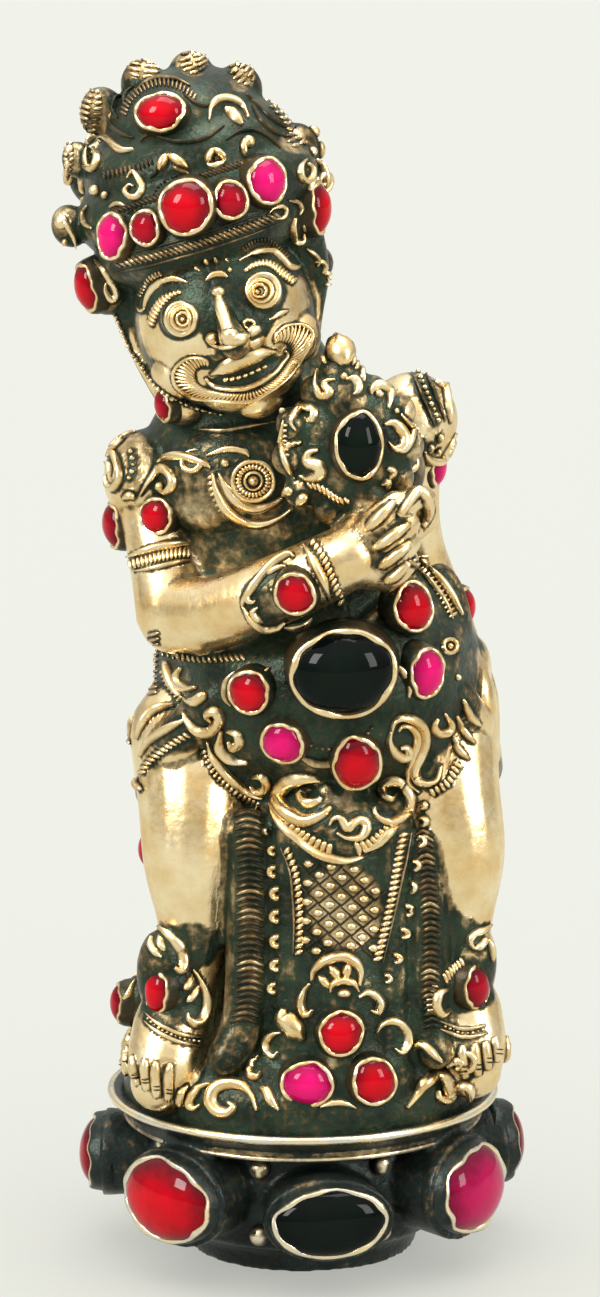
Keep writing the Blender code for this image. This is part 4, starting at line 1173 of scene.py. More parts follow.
def makeCrownRelief():
    relief = newRelief()
    addAll(relief, crownStrokes, 1.3)
    for u, v, ru, rv, rise, bright in crownDomes:
        addDome(relief, u, v, ru, rv, rise, bright)
    for lobe in crownLobes:
        addHatchedLobe(relief, *lobe)
    upper = [(120, 114), (127, 98), (142, 85), (162, 79), (182, 84), (198, 96)]
    addHatch(relief, upper, besides(upper, -7), 22, 2.2, 0.3, 0.5)
    lower = [(102, 172), (120, 168), (138, 163), (152, 157)]
    addHatch(relief, lower, besides(lower, -8), 12, 2.2, 0.3, 0.34)
    # Rope bands over the brow
    addRope(relief, [headPixel(s, 96 + 0.0006 * s * s) for s in (-88, -50, 0, 50, 84)], 8.0, 5.2, 0.3, 0.5, 0.5)
    addRidge(relief, [headPixel(s, 88 + 0.0006 * s * s) for s in (-88, -50, 0, 50, 84)], 2.0, 0.25, 0.4)
    addRidge(relief, [headPixel(s, 104 + 0.0006 * s * s) for s in (-88, -50, 0, 50, 84)], 2.0, 0.25, 0.3)
    addRope(relief, [headPixel(s, 152) for s in (-74, -40, -14)], 7.0, 4.4, 0.22, 0.2, 0.6)
    addRope(relief, [headPixel(s, 160) for s in (20, 50, 74)], 7.0, 4.4, 0.22, 0.2, 0.6)
    # Grains round the front stone and its neighbours
    for u, v, reach in ((184, 208, 33), (142, 229, 21), (232, 201, 22)):
        addBeads(relief, arc(u, v, reach, reach, 20, 160), 1.5, 4.2, 0.3, 0.25)
    # The side and the back of the crown, plainer, and the combed hair under it
    for turn in crownBack["turns"]:
        u, v = seenAt(headSpot(12, 142, crownBack["front"]), turn)
        for side in (-1, 1):
            addScroll(relief, u + 20 * side, v, 13, 90 + 60 * side, 1.3, side, 4.2, 0.55, 0.9, turn)
        addDome(relief, u, v + 24, 6, 6, 0.7, 0.9, turn)
        u, v = seenAt(headSpot(16, 205, crownBack["front"]), turn)
        addHatchedLobe(relief, u, v, 15, 22, 0, turn)
        u, v = seenAt(headSpot(6, 100, crownBack["front"]), turn)
        addRope(relief, [(u - 36, v - 3), (u, v), (u + 36, v - 3)], 8.0, 5.2, 0.35, 0.6, 0.5, turn)
    for turn in crownBack["locks"]:
        line = [seenAt(headSpot(6, rise, -3.0), turn) for rise in (70, 40, 0, -40, -72)]
        line = [(u + 3.0 * math.sin(2.1 * k + turn), v) for k, (u, v) in enumerate(smoothLine(line, 3))]
        addRidge(relief, line, 7.0, 0.42, 0.42, turn, (0.5, 0.2))
    return newPiece(relief[0], "crownRelief", finishes["ridge"])


# The chest, the shoulders and the arms, with the held jewel

trunkStrokes = [
    # Chest
    (5.6, 0.5, 1.0, (219, 473), (226, 488), (238, 502), (254, 509), (271, 504), (285, 495), (292, 488)),
    (5.6, 0.5, 0.95, (213, 473), (216, 490), (226, 509), (242, 521), (261, 525), (280, 518), (297, 504), (306, 494)),
    (5.0, 0.45, 0.95, (157, 463), (169, 457), (187, 457), (204, 463), (211, 468)),
    (4.2, 0.4, 0.95, (207, 456), (223, 450), (235, 449), (245, 452), (249, 457)),
    (2.4, 0.25, 0.6, (199, 430), (226, 431), (252, 426), (280, 421)),
    # Left shoulder and armlet
    (4.2, 0.45, 0.9, (99, 454), (111, 452), (118, 464), (120, 478), (114, 488), (108, 485), (106, 476)),
    (3.6, 0.4, 0.8, (104, 462), (110, 466), (111, 476)),
    (5.0, 0.5, 1.0, (140, 495), (149, 481), (161, 469), (171, 475), (173, 485), (166, 492), (157, 488)),
    (4.0, 0.4, 0.9, (123, 499), (130, 495), (135, 499)),
    (4.2, 0.45, 0.95, (128, 557), (149, 550), (176, 544), (190, 545)),
    (2.6, 0.3, 0.7, (130, 572), (152, 569), (176, 563), (188, 561)),
    # Right arm
    (1.8, 0.25, 0.4, (412, 373), (419, 390), (427, 409), (434, 425)),
    (1.8, 0.25, 0.4, (423, 368), (430, 384), (438, 404), (444, 420)),
    (4.6, 0.45, 1.0, (441, 371), (445, 387), (448, 409), (450, 423)),
    (4.6, 0.4, 0.9, (424, 452), (430, 460), (440, 462), (448, 456)),
    (4.4, 0.45, 0.95, (416, 555), (427, 565), (439, 578), (452, 597), (462, 616)),
    (3.0, 0.35, 0.6, (408, 560), (420, 571), (432, 585), (444, 603), (452, 620)),
    # Bracelet
    (4.4, 0.5, 1.0, (243, 606), (245, 599), (258, 581), (273, 565), (289, 555), (294, 558)),
    (4.0, 0.45, 0.95, (243, 606), (250, 618), (261, 628), (276, 627), (284, 622)),
    (4.0, 0.45, 0.9, (284, 629), (294, 629), (304, 627), (312, 620)),
    (3.6, 0.4, 0.95, (258, 586), (251, 590), (247, 596), (250, 602), (256, 601)),
    (3.6, 0.4, 0.95, (263, 622), (257, 618), (253, 612), (258, 607)),
    (3.2, 0.35, 0.8, (268, 575), (277, 569), (286, 567)),
    (5.2, 0.55, 1.0, (304, 545), (311, 556), (317, 568), (323, 580), (327, 591), (332, 609)),
    # Held jewel
    (14.0, 0.9, 1.0, (336, 338), (341, 350), (345, 366)),
    (4.4, 0.5, 1.0, (319, 370), (315, 383), (319, 394), (327, 396), (331, 392), (326, 386), (328, 381), (336, 380)),
    (4.4, 0.5, 1.0, (346, 380), (353, 379), (358, 385), (357, 392), (353, 395)),
    (3.0, 0.35, 0.7, (324, 356), (325, 360), (327, 364)),
    (3.0, 0.35, 0.7, (353, 356), (353, 361), (352, 366)),
    (2.6, 0.3, 0.6, (358, 359), (357, 365), (355, 370)),
    (3.0, 0.35, 0.7, (361, 364), (362, 370), (362, 376), (364, 382)),
    (5.0, 0.5, 1.0, (371, 395), (372, 390), (379, 385), (388, 390), (390, 399), (388, 409)),
    (4.0, 0.4, 0.95, (376, 391), (379, 394), (381, 398)),
    (3.8, 0.45, 0.9, (401, 414), (410, 425), (412, 437), (405, 449), (395, 449), (388, 442)),
    (6.0, 0.5, 1.0, (384, 425), (393, 423), (401, 430), (405, 440), (400, 447), (391, 447)),
    (4.0, 0.45, 0.95, (386, 468), (393, 471), (389, 480)),
    (3.6, 0.4, 0.9, (381, 485), (388, 481), (386, 490)),
    (4.4, 0.5, 1.0, (296, 430), (291, 423), (295, 413), (303, 407), (314, 409), (314, 418), (308, 421), (305, 418)),
    (3.2, 0.4, 0.8, (284, 421), (282, 437), (283, 454), (288, 468), (295, 480)),
    (3.8, 0.45, 0.9, (286, 450), (291, 444), (302, 442)),
    (6.6, 0.55, 1.0, (300, 476), (308, 478), (319, 475), (321, 468), (315, 464), (308, 461), (310, 452), (319, 450)),
]
trunkDomes = [
    (253, 481, 5.2, 5.2, 0.9, 1.0), (225, 463, 4.8, 4.8, 0.7, 1.0), (161, 487, 5.4, 5.2, 0.8, 1.0),
    (440, 438, 4.6, 4.6, 0.7, 0.9), (431, 447, 3.6, 3.6, 0.6, 0.9), (438, 451, 3.4, 3.4, 0.6, 0.8),
    (344, 377, 4.0, 4.0, 0.8, 1.0), (397, 411, 3.0, 3.0, 0.6, 0.95), (283, 412, 3.6, 3.2, 0.6, 0.8),
    (281, 600, 2.6, 2.6, 0.4, 0.7), (272, 590, 2.2, 2.2, 0.4, 0.6),
]


def makeTrunkRelief():
    relief = newRelief()
    addAll(relief, trunkStrokes, 1.35)
    for u, v, ru, rv, rise, bright in trunkDomes:
        addDome(relief, u, v, ru, rv, rise, bright)
    # Rayed medallion of the chest
    u, v = 253, 481
    addRound(relief, u, v, 8.6, 8.6, 2.2, 0.4)
    addRound(relief, u, v, 20.5, 19.5, 3.2, 0.45)
    addHatch(relief, arc(u, v, 12, 11.4, 0, 360, 26), arc(u, v, 17.8, 17, 0, 360, 26), 26, 2.6, 0.3, 0.95)
    addHatch(relief, [(213, 473), (216, 490), (226, 509)], [(207, 476), (209, 494), (219, 514)], 7, 2.8, 0.3, 0.7)
    # Armlets and shoulders
    addBeads(relief, [(130, 449), (133, 461), (133, 469), (128, 481)], 2.7, 6.0, 0.5, 0.9)
    addHatch(relief, [(128, 561), (149, 555), (176, 548), (190, 549)], [(130, 570), (151, 565), (177, 559), (189, 558)], 15, 3.0, 0.34, 0.95)
    addBeads(relief, [(417, 370), (424, 387), (432, 407), (439, 423)], 2.7, 5.5, 0.5, 0.9)
    addHatch(relief, [(414, 557), (436, 580), (458, 616)], [(409, 561), (430, 585), (450, 620)], 14, 2.6, 0.3, 0.8)
    # Cuff and rope under the jewel
    addRope(relief, [(312, 540), (322, 555), (332, 578), (342, 606)], 7.5, 5.4, 0.35, 0.95, 0.3)
    addRope(relief, [(307, 485), (319, 487), (331, 495), (340, 501), (350, 500)], 7.0, 5.2, 0.35, 0.85, 0.3)
    addHatch(relief, [(288, 423), (287, 440), (290, 458)], [(283, 423), (281, 440), (283, 458)], 7, 2.2, 0.25, 0.7)
    # Fingers and thumb of the fist
    for line in (
        [(368, 528), (378, 518), (394, 502)], [(376, 548), (391, 537), (408, 525)], [(381, 567), (396, 555), (409, 543)],
        [(387, 582), (397, 574), (407, 561)], [(397, 515), (409, 501), (418, 492), (427, 500), (429, 515), (422, 527)],
    ):
        addRidge(relief, line, 7.6, 0.75, 0.95, ends=(0.65, 0.6))
    # The shoulders' and the arms' far sides, and the back
    for turn, u in ((-60, 330), (-90, 318), (60, 275), (90, 285)):
        addScroll(relief, u, 470, 13, 90, 1.2, 1, 4.4, 0.5, 0.95, turn)
    for turn in (138, 180, 222):
        for side in (-1, 1):
            addScroll(relief, 303 + 22 * side, 560, 17, 90 + 60 * side, 1.3, side, 5.0, 0.55, 0.95, turn)
            addScroll(relief, 303 + 16 * side, 620, 11, 90 + 60 * side, 1.1, side, 4.2, 0.5, 0.9, turn)
        addRope(relief, [(250, 514), (303, 518), (356, 514)], 8.0, 5.6, 0.35, 0.8, 0.4, turn)
        addRound(relief, 303, 488, 9, 9, 3.0, 0.45, 0.9, turn)
        addDome(relief, 303, 488, 4.5, 4.5, 0.6, 1.0, turn)
    return newPiece(relief[0], "trunkRelief", finishes["ridge"])


# The apron, the sashes and the hips

apronStrokes = [
    (4.6, 0.5, 1.0, (166, 662), (174, 685), (189, 703), (202, 698), (207, 693)),
    (4.2, 0.45, 0.95, (182, 668), (178, 676), (180, 684), (188, 689), (197, 688)),
    (5.0, 0.5, 1.0, (184, 713), (190, 723), (199, 731), (212, 729), (220, 719), (215, 711), (206, 715), (210, 721)),
    (5.0, 0.5, 1.0, (222, 731), (220, 744), (225, 754), (234, 760), (248, 762)),
    (4.2, 0.45, 0.95, (228, 731), (238, 734), (240, 743), (233, 747), (229, 741)),
    (4.4, 0.5, 0.95, (207, 741), (211, 753), (219, 766), (233, 782), (248, 792), (263, 799)),
    (4.0, 0.45, 0.95, (253, 777), (262, 776), (267, 783), (264, 791), (256, 792), (251, 786)),
    (7.0, 0.6, 1.0, (331, 808), (324, 815), (307, 821), (291, 816), (280, 806), (279, 794), (288, 782), (303, 777), (315, 778), (322, 782)),
    (5.0, 0.55, 1.0, (322, 798), (318, 803), (309, 805), (303, 801), (302, 794), (306, 790), (312, 791)),
    (4.4, 0.5, 0.95, (271, 803), (277, 816), (287, 828), (303, 841), (322, 854), (345, 860), (362, 856)),
    (4.6, 0.5, 1.0, (330, 826), (333, 820), (340, 818), (347, 828), (352, 824), (358, 820), (365, 824), (364, 832), (358, 838), (346, 838), (337, 833)),
    (5.0, 0.5, 1.0, (373, 808), (376, 817), (386, 822), (397, 820), (407, 811), (411, 799), (407, 787), (398, 780), (388, 781), (382, 789), (384, 798), (391, 801), (396, 796)),
    (4.6, 0.5, 1.0, (391, 731), (394, 722), (402, 718), (413, 720), (422, 728), (424, 742), (419, 757), (415, 770), (419, 781), (428, 784), (437, 779), (440, 766)),
    (3.2, 0.4, 0.9, (398, 731), (402, 726), (410, 727), (416, 734), (416, 744), (411, 757), (408, 770), (411, 784), (420, 792)),
    (4.2, 0.45, 1.0, (391, 731), (389, 741), (393, 751), (402, 757), (409, 753), (406, 747), (400, 748)),
    (4.0, 0.45, 0.95, (437, 719), (433, 726), (437, 733), (446, 732), (450, 724), (444, 714)),
    (4.6, 0.45, 0.9, (364, 851), (378, 842), (388, 832), (396, 826)),
    # Between the belly's stones
    (3.6, 0.4, 0.7, (270, 668), (262, 678), (258, 692), (262, 704)),
    (3.6, 0.4, 0.7, (392, 664), (402, 672), (409, 684), (408, 698)),
    (3.4, 0.4, 0.65, (236, 672), (228, 682), (226, 696), (232, 706)),
    (3.4, 0.4, 0.6, (300, 756), (314, 762), (330, 763), (346, 760)),
    # Left hip's sash
    (4.4, 0.5, 0.9, (138, 739), (143, 725), (151, 714), (162, 708), (174, 706)),
    (4.0, 0.45, 0.85, (141, 757), (149, 744), (161, 734), (174, 726), (187, 719)),
    (3.4, 0.4, 0.7, (137, 778), (138, 786), (143, 790)),
    (3.4, 0.4, 0.7, (131, 716), (128, 730), (131, 744)),
    # Right hip
    (3.8, 0.45, 0.8, (462, 700), (470, 716), (480, 726)),
    (3.6, 0.4, 0.8, (456, 716), (463, 732), (474, 744)),
    (3.6, 0.4, 0.75, (452, 736), (458, 750), (468, 760)),
]


def makeApronRelief():
    relief = newRelief()
    addAll(relief, apronStrokes, 1.6)
    addHatch(relief, [(166, 668), (172, 684), (184, 699)], [(160, 671), (166, 688), (178, 704)], 8, 2.8, 0.3, 0.7)
    addHatch(relief, [(205, 748), (216, 771), (236, 789), (262, 804)], [(199, 752), (211, 776), (233, 796), (258, 811)], 16, 3.0, 0.32, 0.8)
    addHatch(relief, [(283, 816), (301, 829), (321, 840), (334, 845)], [(277, 822), (294, 837), (316, 850), (333, 856)], 10, 4.4, 0.36, 1.0, bend=0.12)
    addHatch(relief, [(352, 843), (366, 840), (378, 831), (390, 822)], [(356, 857), (372, 851), (385, 841), (398, 829)], 8, 4.2, 0.36, 0.95, bend=-0.12)
    addHatch(relief, [(428, 790), (444, 780), (455, 760)], [(432, 797), (450, 788), (463, 766)], 8, 3.4, 0.34, 0.8)
    addRope(relief, [(141, 775), (149, 762), (161, 752), (175, 742), (189, 734)], 7.0, 5.2, 0.35, 0.8, 0.3)
    addRound(relief, 449, 647, 7.0, 7.0, 3.0, 0.45)
    addDome(relief, 449, 647, 3.0, 3.0, 0.6)
    addDome(relief, 457, 678, 3.4, 3.4, 0.6, 0.9)
    addDome(relief, 348, 826, 2.8, 2.8, 0.5, 0.9)
    # Grains round the belly's middle stone
    addBeads(relief, arc(330, 702, 50, 47, 20, 160), 1.9, 6.0, 0.4, 0.5)
    addBeads(relief, arc(330, 702, 50, 47, 200, 330), 1.9, 6.0, 0.4, 0.4)
    addRope(relief, [(160, 652), (200, 660), (245, 658)], 6.5, 5.2, 0.3, 0.6, 0.3)
    # Folds of the cloth behind the left arm
    addHatch(relief, [(149, 632), (147, 664), (148, 698)], [(160, 630), (158, 664), (158, 696)], 12, 2.6, 0.28, 0.6)
    # Hips and back
    for turn in (-118, -149, 180, 149, 118):
        for side in (-1, 1):
            addScroll(relief, 303 + 24 * side, 760, 18, 90 + 60 * side, 1.3, side, 5.2, 0.55, 0.95, turn)
            addScroll(relief, 303 + 20 * side, 808, 12, -90 - 60 * side, 1.2, -side, 4.4, 0.5, 0.9, turn)
        addHatchedLobe(relief, 303, 838, 16, 12, 0, turn, 0.9)
        addRope(relief, [(250, 690), (303, 698), (356, 690)], 8.0, 5.6, 0.35, 0.8, 0.4, turn)
    return newPiece(relief[0], "apronRelief", finishes["ridge"])


# The cloth, the feet and the foot drum

footStrokes = [
    # Ornament under the cloth's panel
    (5.2, 0.55, 1.0, (313, 981), (315, 970), (326, 961), (341, 957), (353, 961), (360, 972), (359, 986)),
    (4.0, 0.45, 1.0, (331, 993), (333, 985), (343, 981), (353, 984), (358, 992)),
    (4.4, 0.45, 1.0, (330, 966), (335, 973), (338, 980)),
    (4.4, 0.45, 1.0, (348, 963), (347, 971), (346, 979)),
    (4.0, 0.45, 0.95, (319, 976), (325, 982), (329, 989)),
    (4.4, 0.5, 1.0, (311, 984), (304, 993), (301, 1004), (304, 1013), (310, 1015), (313, 1010)),
    (4.4, 0.5, 1.0, (358, 998), (366, 993), (375, 996), (381, 1004), (377, 1013), (370, 1011)),
    (10.0, 0.7, 0.95, (284, 1009), (283, 1017), (290, 1024), (298, 1034), (303, 1042)),
    (4.2, 0.5, 1.0, (282, 1033), (273, 1035), (267, 1043), (269, 1053), (275, 1057), (279, 1052)),
    (4.2, 0.5, 1.0, (259, 1057), (252, 1062), (249, 1070), (251, 1077), (257, 1078), (261, 1073)),
    (4.4, 0.5, 1.0, (376, 1033), (384, 1024), (396, 1022), (405, 1030), (407, 1043), (401, 1053), (394, 1049)),
    # Foot drum
    (6.8, 0.6, 1.0, (257, 1111), (251, 1095), (241, 1086), (227, 1084), (215, 1090), (211, 1101), (217, 1111), (228, 1113), (234, 1107), (229, 1103)),
    (4.6, 0.5, 1.0, (211, 1085), (200, 1088), (192, 1096), (190, 1105), (195, 1109), (201, 1105)),
    (4.0, 0.45, 1.0, (188, 1086), (181, 1091), (178, 1098), (180, 1105), (185, 1105)),
    (5.4, 0.5, 0.95, (260, 1089), (267, 1092), (271, 1101), (279, 1111)),
    (7.0, 0.6, 1.0, (406, 1108), (414, 1098), (424, 1084), (436, 1075), (447, 1077), (451, 1088), (446, 1100), (438, 1098), (437, 1091)),
    (4.6, 0.5, 0.95, (413, 1050), (422, 1045), (432, 1053), (442, 1062)),
    (4.4, 0.5, 0.95, (454, 1092), (462, 1086), (470, 1088), (471, 1097), (464, 1100)),
    (3.6, 0.4, 0.8, (320, 1108), (332, 1104), (345, 1104), (356, 1109)),
    # Left ankle
    (6.4, 0.55, 1.0, (149, 937), (154, 928), (161, 931), (173, 941), (181, 951), (183, 963), (179, 971), (174, 968)),
    (3.6, 0.4, 0.9, (152, 937), (151.5, 946), (156, 953), (162, 958)),
    (3.6, 0.4, 0.9, (159, 937), (161, 945), (165, 952)),
    (5.0, 0.5, 1.0, (193, 970), (200, 981), (206, 996), (206, 1010), (201, 1021), (194, 1024), (188, 1020), (187, 1014)),
    (3.8, 0.4, 0.9, (191, 975), (188, 985), (183, 990)),
    (3.8, 0.4, 0.9, (198, 986), (192, 996), (186, 1002)),
    (3.4, 0.4, 0.9, (138, 978), (133, 986), (129, 996), (125, 1000), (122, 997), (123, 993)),
    (2.2, 0.3, 0.7, (146, 1014), (156, 1023), (170, 1031), (184, 1036), (201, 1038)),
    (2.2, 0.3, 0.7, (145, 1022), (155, 1031), (169, 1039), (183, 1044), (200, 1047)),
    (3.2, 0.35, 0.7, (137, 932), (132, 944), (129, 956)),
    # Right ankle
    (5.0, 0.5, 1.0, (447, 990), (439, 994), (436, 1005), (441, 1015), (449, 1010)),
    (4.0, 0.45, 0.9, (474, 950), (470, 942), (474, 935), (483, 931), (490, 925)),
    (4.0, 0.45, 0.9, (474, 950), (481, 946), (485, 938)),
    (3.4, 0.4, 0.85, (487, 940), (491, 950), (492, 962)),
    (2.2, 0.3, 0.6, (440, 1022), (454, 1028), (470, 1030), (486, 1026)),
    (2.2, 0.3, 0.6, (440, 1030), (454, 1036), (470, 1038), (487, 1034)),
]
toes = [
    [(122, 1052), (124, 1062), (127, 1074)], [(132, 1057), (134, 1070), (138, 1086)], [(145, 1060), (144.5, 1073), (147, 1091)],
    [(156, 1062), (155, 1078), (157, 1098)], [(171, 1064), (168, 1080), (168, 1101)],
    [(463, 1046), (463, 1060), (466, 1078)], [(475, 1044), (476, 1058), (478, 1076)], [(485, 1042), (487, 1054), (488, 1070)],
    [(494, 1038), (496, 1048), (497, 1062)],
]
hooks = {
    "left": [(265, 832, 2.6), (274, 851, 3.6), (274, 872, 4.4), (277, 894, 4.8), (277, 917, 4.8), (277, 942, 4.8), (277, 966, 4.4), (274, 989, 4.2)],
    "right": [
        (424, 806, 3.2), (424, 822, 4.0), (421, 843, 4.4), (416, 866, 4.4), (412, 888, 4.6), (408, 911, 4.6), (403, 934, 4.2),
        (396, 959, 4.0), (387, 979, 3.6),
    ],
}
cloth = {
    "left": [(248, 812), (250, 870), (250, 930), (249, 990), (243, 1024)],
    "right": [(424, 830), (428, 880), (431, 930), (430, 990), (433, 1030)],
    "ribs": (33, 30),
    "panel": [(302, 868), (388, 864), (378, 955), (306, 955)],
}


def makeFootRelief():
    relief = newRelief()
    addAll(relief, footStrokes, 1.45)
    addDome(relief, 344, 994, 7.0, 5.2, 0.9)
    for u, v, r in hooks["left"]:
        addRidge(relief, arc(u + 1, v, 1.15 * r, r, 75, 285, 8), 1.1 * r, 0.6, 1.0, ends=(0.7, 0.7), steps=0)
    for u, v, r in hooks["right"]:
        addRidge(relief, arc(u - 1, v, 1.15 * r, r, 115, -105, 8), 1.0 * r, 0.6, 1.0, ends=(0.7, 0.6), steps=0)
    # Ropes down the middle cloth
    addRope(relief, [(286, 848), (295, 870), (299, 900), (300, 930), (299, 956)], 8.0, 6.3, 0.4, 0.95, 0.25)
    addRope(relief, [(404, 832), (400, 848), (395, 880), (389, 912), (377, 962)], 9.0, 6.0, 0.4, 0.95, 0.3)
    addRidge(relief, [(281, 848), (290, 872), (293, 900), (294, 930), (293, 956)], 1.8, 0.3, 0.5)
    addRidge(relief, [(411, 832), (406, 858), (400, 886), (394, 914), (383, 964)], 1.8, 0.3, 0.5)
    # Diamonds of the panel
    for row in range(10):
        for column in range(5):
            u = 309 + 22.4 * column + (11.2 if row % 2 else 0.0) - 0.4 * row
            v = 868 + 9.6 * row + 0.12 * (u - 340)
            if u < 303 + 0.2 * row or u > 388 - 1.3 * row or v > 952 or (row == 0 and column > 2):
                continue
            addRidge(relief, [(u - 5.0, v), (u, v), (u + 5.0, v)], 5.6, 0.4, 1.0, ends=(0.2, 0.2), steps=2)
            for side in (-11.2, 11.2):
                addRidge(relief, [(u + side, v), (u + side / 2, v + 4.8), (u, v + 9.6)], 1.7, 0.2, 0.1, ends=(0.8, 0.8), steps=0)
    # Ribbed folds beside it
    for side, half in (("left", 13), ("right", 9)):
        line = smoothLine(cloth[side], 6)
        count = cloth["ribs"][0]
        for k in range(count):
            u, v = pointAlong(line, (k + 0.5) / count)
            bright = 0.34 + 0.12 * math.sin(1.7 * k) + 0.1 * math.sin(0.6 * k)
            addRidge(relief, [(u - half, v + 2.5), (u, v - 1.6), (u + half, v + 3.0)], 3.4, 0.34, bright, ends=(0.4, 0.4))
    # Ankles and toes
    addBeads(relief, [(147, 1018), (156, 1027), (170, 1035), (184, 1040), (200, 1042)], 1.7, 4.6, 0.4, 0.9)
    addBeads(relief, [(442, 1026), (454, 1032), (470, 1034), (485, 1030)], 1.7, 4.6, 0.4, 0.8)
    addHatch(relief, [(442, 976), (450, 966), (462, 957)], [(446, 986), (455, 975), (466, 966)], 7, 3.0, 0.34, 0.95)
    addHatch(relief, [(439, 985), (433, 1000), (434, 1012)], [(433, 983), (426, 999), (427, 1014)], 6, 2.8, 0.3, 0.8)
    for line in toes:
        addRidge(relief, line, 7.2, 0.5, 0.95, ends=(0.6, 0.75))
        addHatch(relief, [(line[2][0] - 3, line[2][1] - 6), (line[2][0] - 3, line[2][1] - 14)], [(line[2][0] + 3, line[2][1] - 6), (line[2][0] + 3, line[2][1] - 14)], 2, 1.6, 0.7, 0.2)
    # Round the sides and the back
    for k, turn in enumerate(range(48, 320, 17)):
        addScroll(relief, 303, 1086, 13, 90, 1.35, 1 if k % 2 else -1, 5.6, 0.6, 1.0, turn, [(303 + (18 if k % 2 else -18), 1098)])
    for turn in (112, 130, 155, 180, 205, 230, 248):
        line = [(303, 866), (303, 930), (303, 1040)]
        for k in range(24):
            u, v = pointAlong(line, (k + 0.5) / 24)
            addRidge(relief, [(u - 10, v + 2.5), (u, v - 1.6), (u + 10, v + 3.0)], 3.6, 0.34, 0.4 + 0.14 * math.sin(1.7 * k), turn)
    for turn in (121, 143, 167, 193, 217, 239):
        for v in range(880, 1040, 22):
            addRidge(relief, arc(303, v, 4.6, 4.2, 75, 285, 8), 4.6, 0.6, 1.0, turn, (0.7, 0.7), 0)
    return newPiece(relief[0], "footRelief", finishes["ridge"])


reliefs = [makeFaceRelief(), makeCrownRelief(), makeTrunkRelief(), makeApronRelief(), makeFootRelief()]
print("ornament is laid", [len(piece.data.polygons) for piece in reliefs])


# Where the metal is rubbed bright: the bare limbs, the face and part of the chest


def brightForms():
    mesh = bmesh.new()
    for line in (*legs.values(), feet["left"], feet["right"], *arms.values()):
        addLimb(mesh, line)
    for line in (*hands["fist"], hands["thumb"], *hands["hip"]):
        addLimb(mesh, line, sides=12)
    addBall(mesh, spot(372, 550, 19.2), (4.6, 3.4, 4.8), turnedTo(-29, "Y"))
    return BVHTree.FromBMesh(mesh)


bare = brightForms()


# Patches of the front, as (middle, half sizes, lean, value): where the metal is rubbed bare, then where
# the patina stays
patches = {
    "headAndCrown": {
        "ground": 0.17,
        "bare": [
            (228, 352, 92, 62, 17, 0.95), (252, 398, 44, 24, 20, 0.95), (300, 300, 20, 34, 10, 0.9), (155, 350, 24, 44, 17, 0.9),
        ],
        "dark": [
            (182, 319, 23, 22, 0, 1.0), (262, 292, 25, 22, 0, 1.0), (207, 316, 12, 28, 10, 0.9), (238, 304, 10, 26, 14, 0.95), (254, 324, 20, 15, 10, 0.8),
            (222, 270, 80, 22, 17, 1.0), (225, 358, 30, 9, 17, 0.8), (244, 376, 44, 13, 22, 0.9), (190, 378, 7, 6, 0, 0.8),
            (298, 341, 12, 8, 20, 0.8), (150, 300, 14, 16, 0, 0.7), (280, 262, 26, 14, -30, 0.8),
        ],
        "rubbed": [
            (97, 112, 15, 26, 10, 0.5), (142, 68, 24, 13, 10, 0.5), (194, 62, 20, 16, 0, 0.55), (243, 76, 14, 18, -30, 0.5),
            (70, 155, 9, 24, 0, 0.46), (60, 224, 11, 15, 0, 0.5), (300, 140, 22, 15, 0, 0.5), (182, 319, 15, 15, 0, 0.8),
            (260, 291, 15, 15, 0, 0.8),
        ],
    },
    "trunkAndArms": {
        "ground": 0.20,
        "bare": [(214, 492, 38, 44, 10, 0.31), (416, 420, 12, 24, 0, 0.7), (396, 383, 12, 8, 0, 0.6), (300, 470, 10, 22, 0, 0.4)],
        "dark": [(253, 481, 19, 18, 0, 0.9), (330, 700, 140, 60, 0, 0.75), (275, 600, 36, 30, 0, 0.8)],
        "rubbed": [(226, 502, 22, 28, 10, 0.42), (196, 500, 26, 44, 10, 0.36), (285, 520, 40, 20, 10, 0.36), (225, 550, 60, 26, 0, 0.34)],
    },
    "lowerFigure": {
        "ground": 0.15,
        "bare": [],
        "rubbed": [(345, 908, 40, 44, 0, 0.56), (250, 900, 10, 90, 0, 0.32), (186, 1052, 12, 14, 0, 0.4)],
        "dark": [(192, 946, 30, 24, 0, 0.8), (455, 934, 26, 22, 0, 0.75), (165, 1000, 40, 30, 0, 0.8), (470, 985, 34, 28, 0, 0.8)],
    },
}


def pixelsOf(places):
    # Where points are seen in the picture
    across, up, forward = (np.array(axis) for axis in viewAxes())
    eye = np.array(eyeAt())
    away = (places - np.array(figureFoot)) / figureScale + np.array(drawn["foot"]) - eye
    deep = away @ forward
    u = picture["middle"][0] + picture["focus"] * (away @ across) / deep
    v = picture["middle"][1] - picture["focus"] * (away @ up) / deep
    return u, v


def patchShare(u, v, patch):
    middleU, middleV, ru, rv, lean, value = patch
    c, s = math.cos(math.radians(lean)), math.sin(math.radians(lean))
    x = ((u - middleU) * c - (v - middleV) * s) / ru
    y = ((u - middleU) * s + (v - middleV) * c) / rv
    return value * np.clip((1.12 - np.hypot(x, y)) / 0.24, 0.0, 1.0)


def nearness(places, tree, reach, full=0.0):
    # 1 on the tree's surface, falling to 0 at the reach, both in millimetres
    near = np.zeros(len(places))
    for i, place in enumerate(places):
        found = tree.find_nearest(Vector(place), reach * mm)
        if found[0] is not None:
            near[i] = 1.0 - max(0.0, (found[3] / mm - full) / (reach - full))
    return near


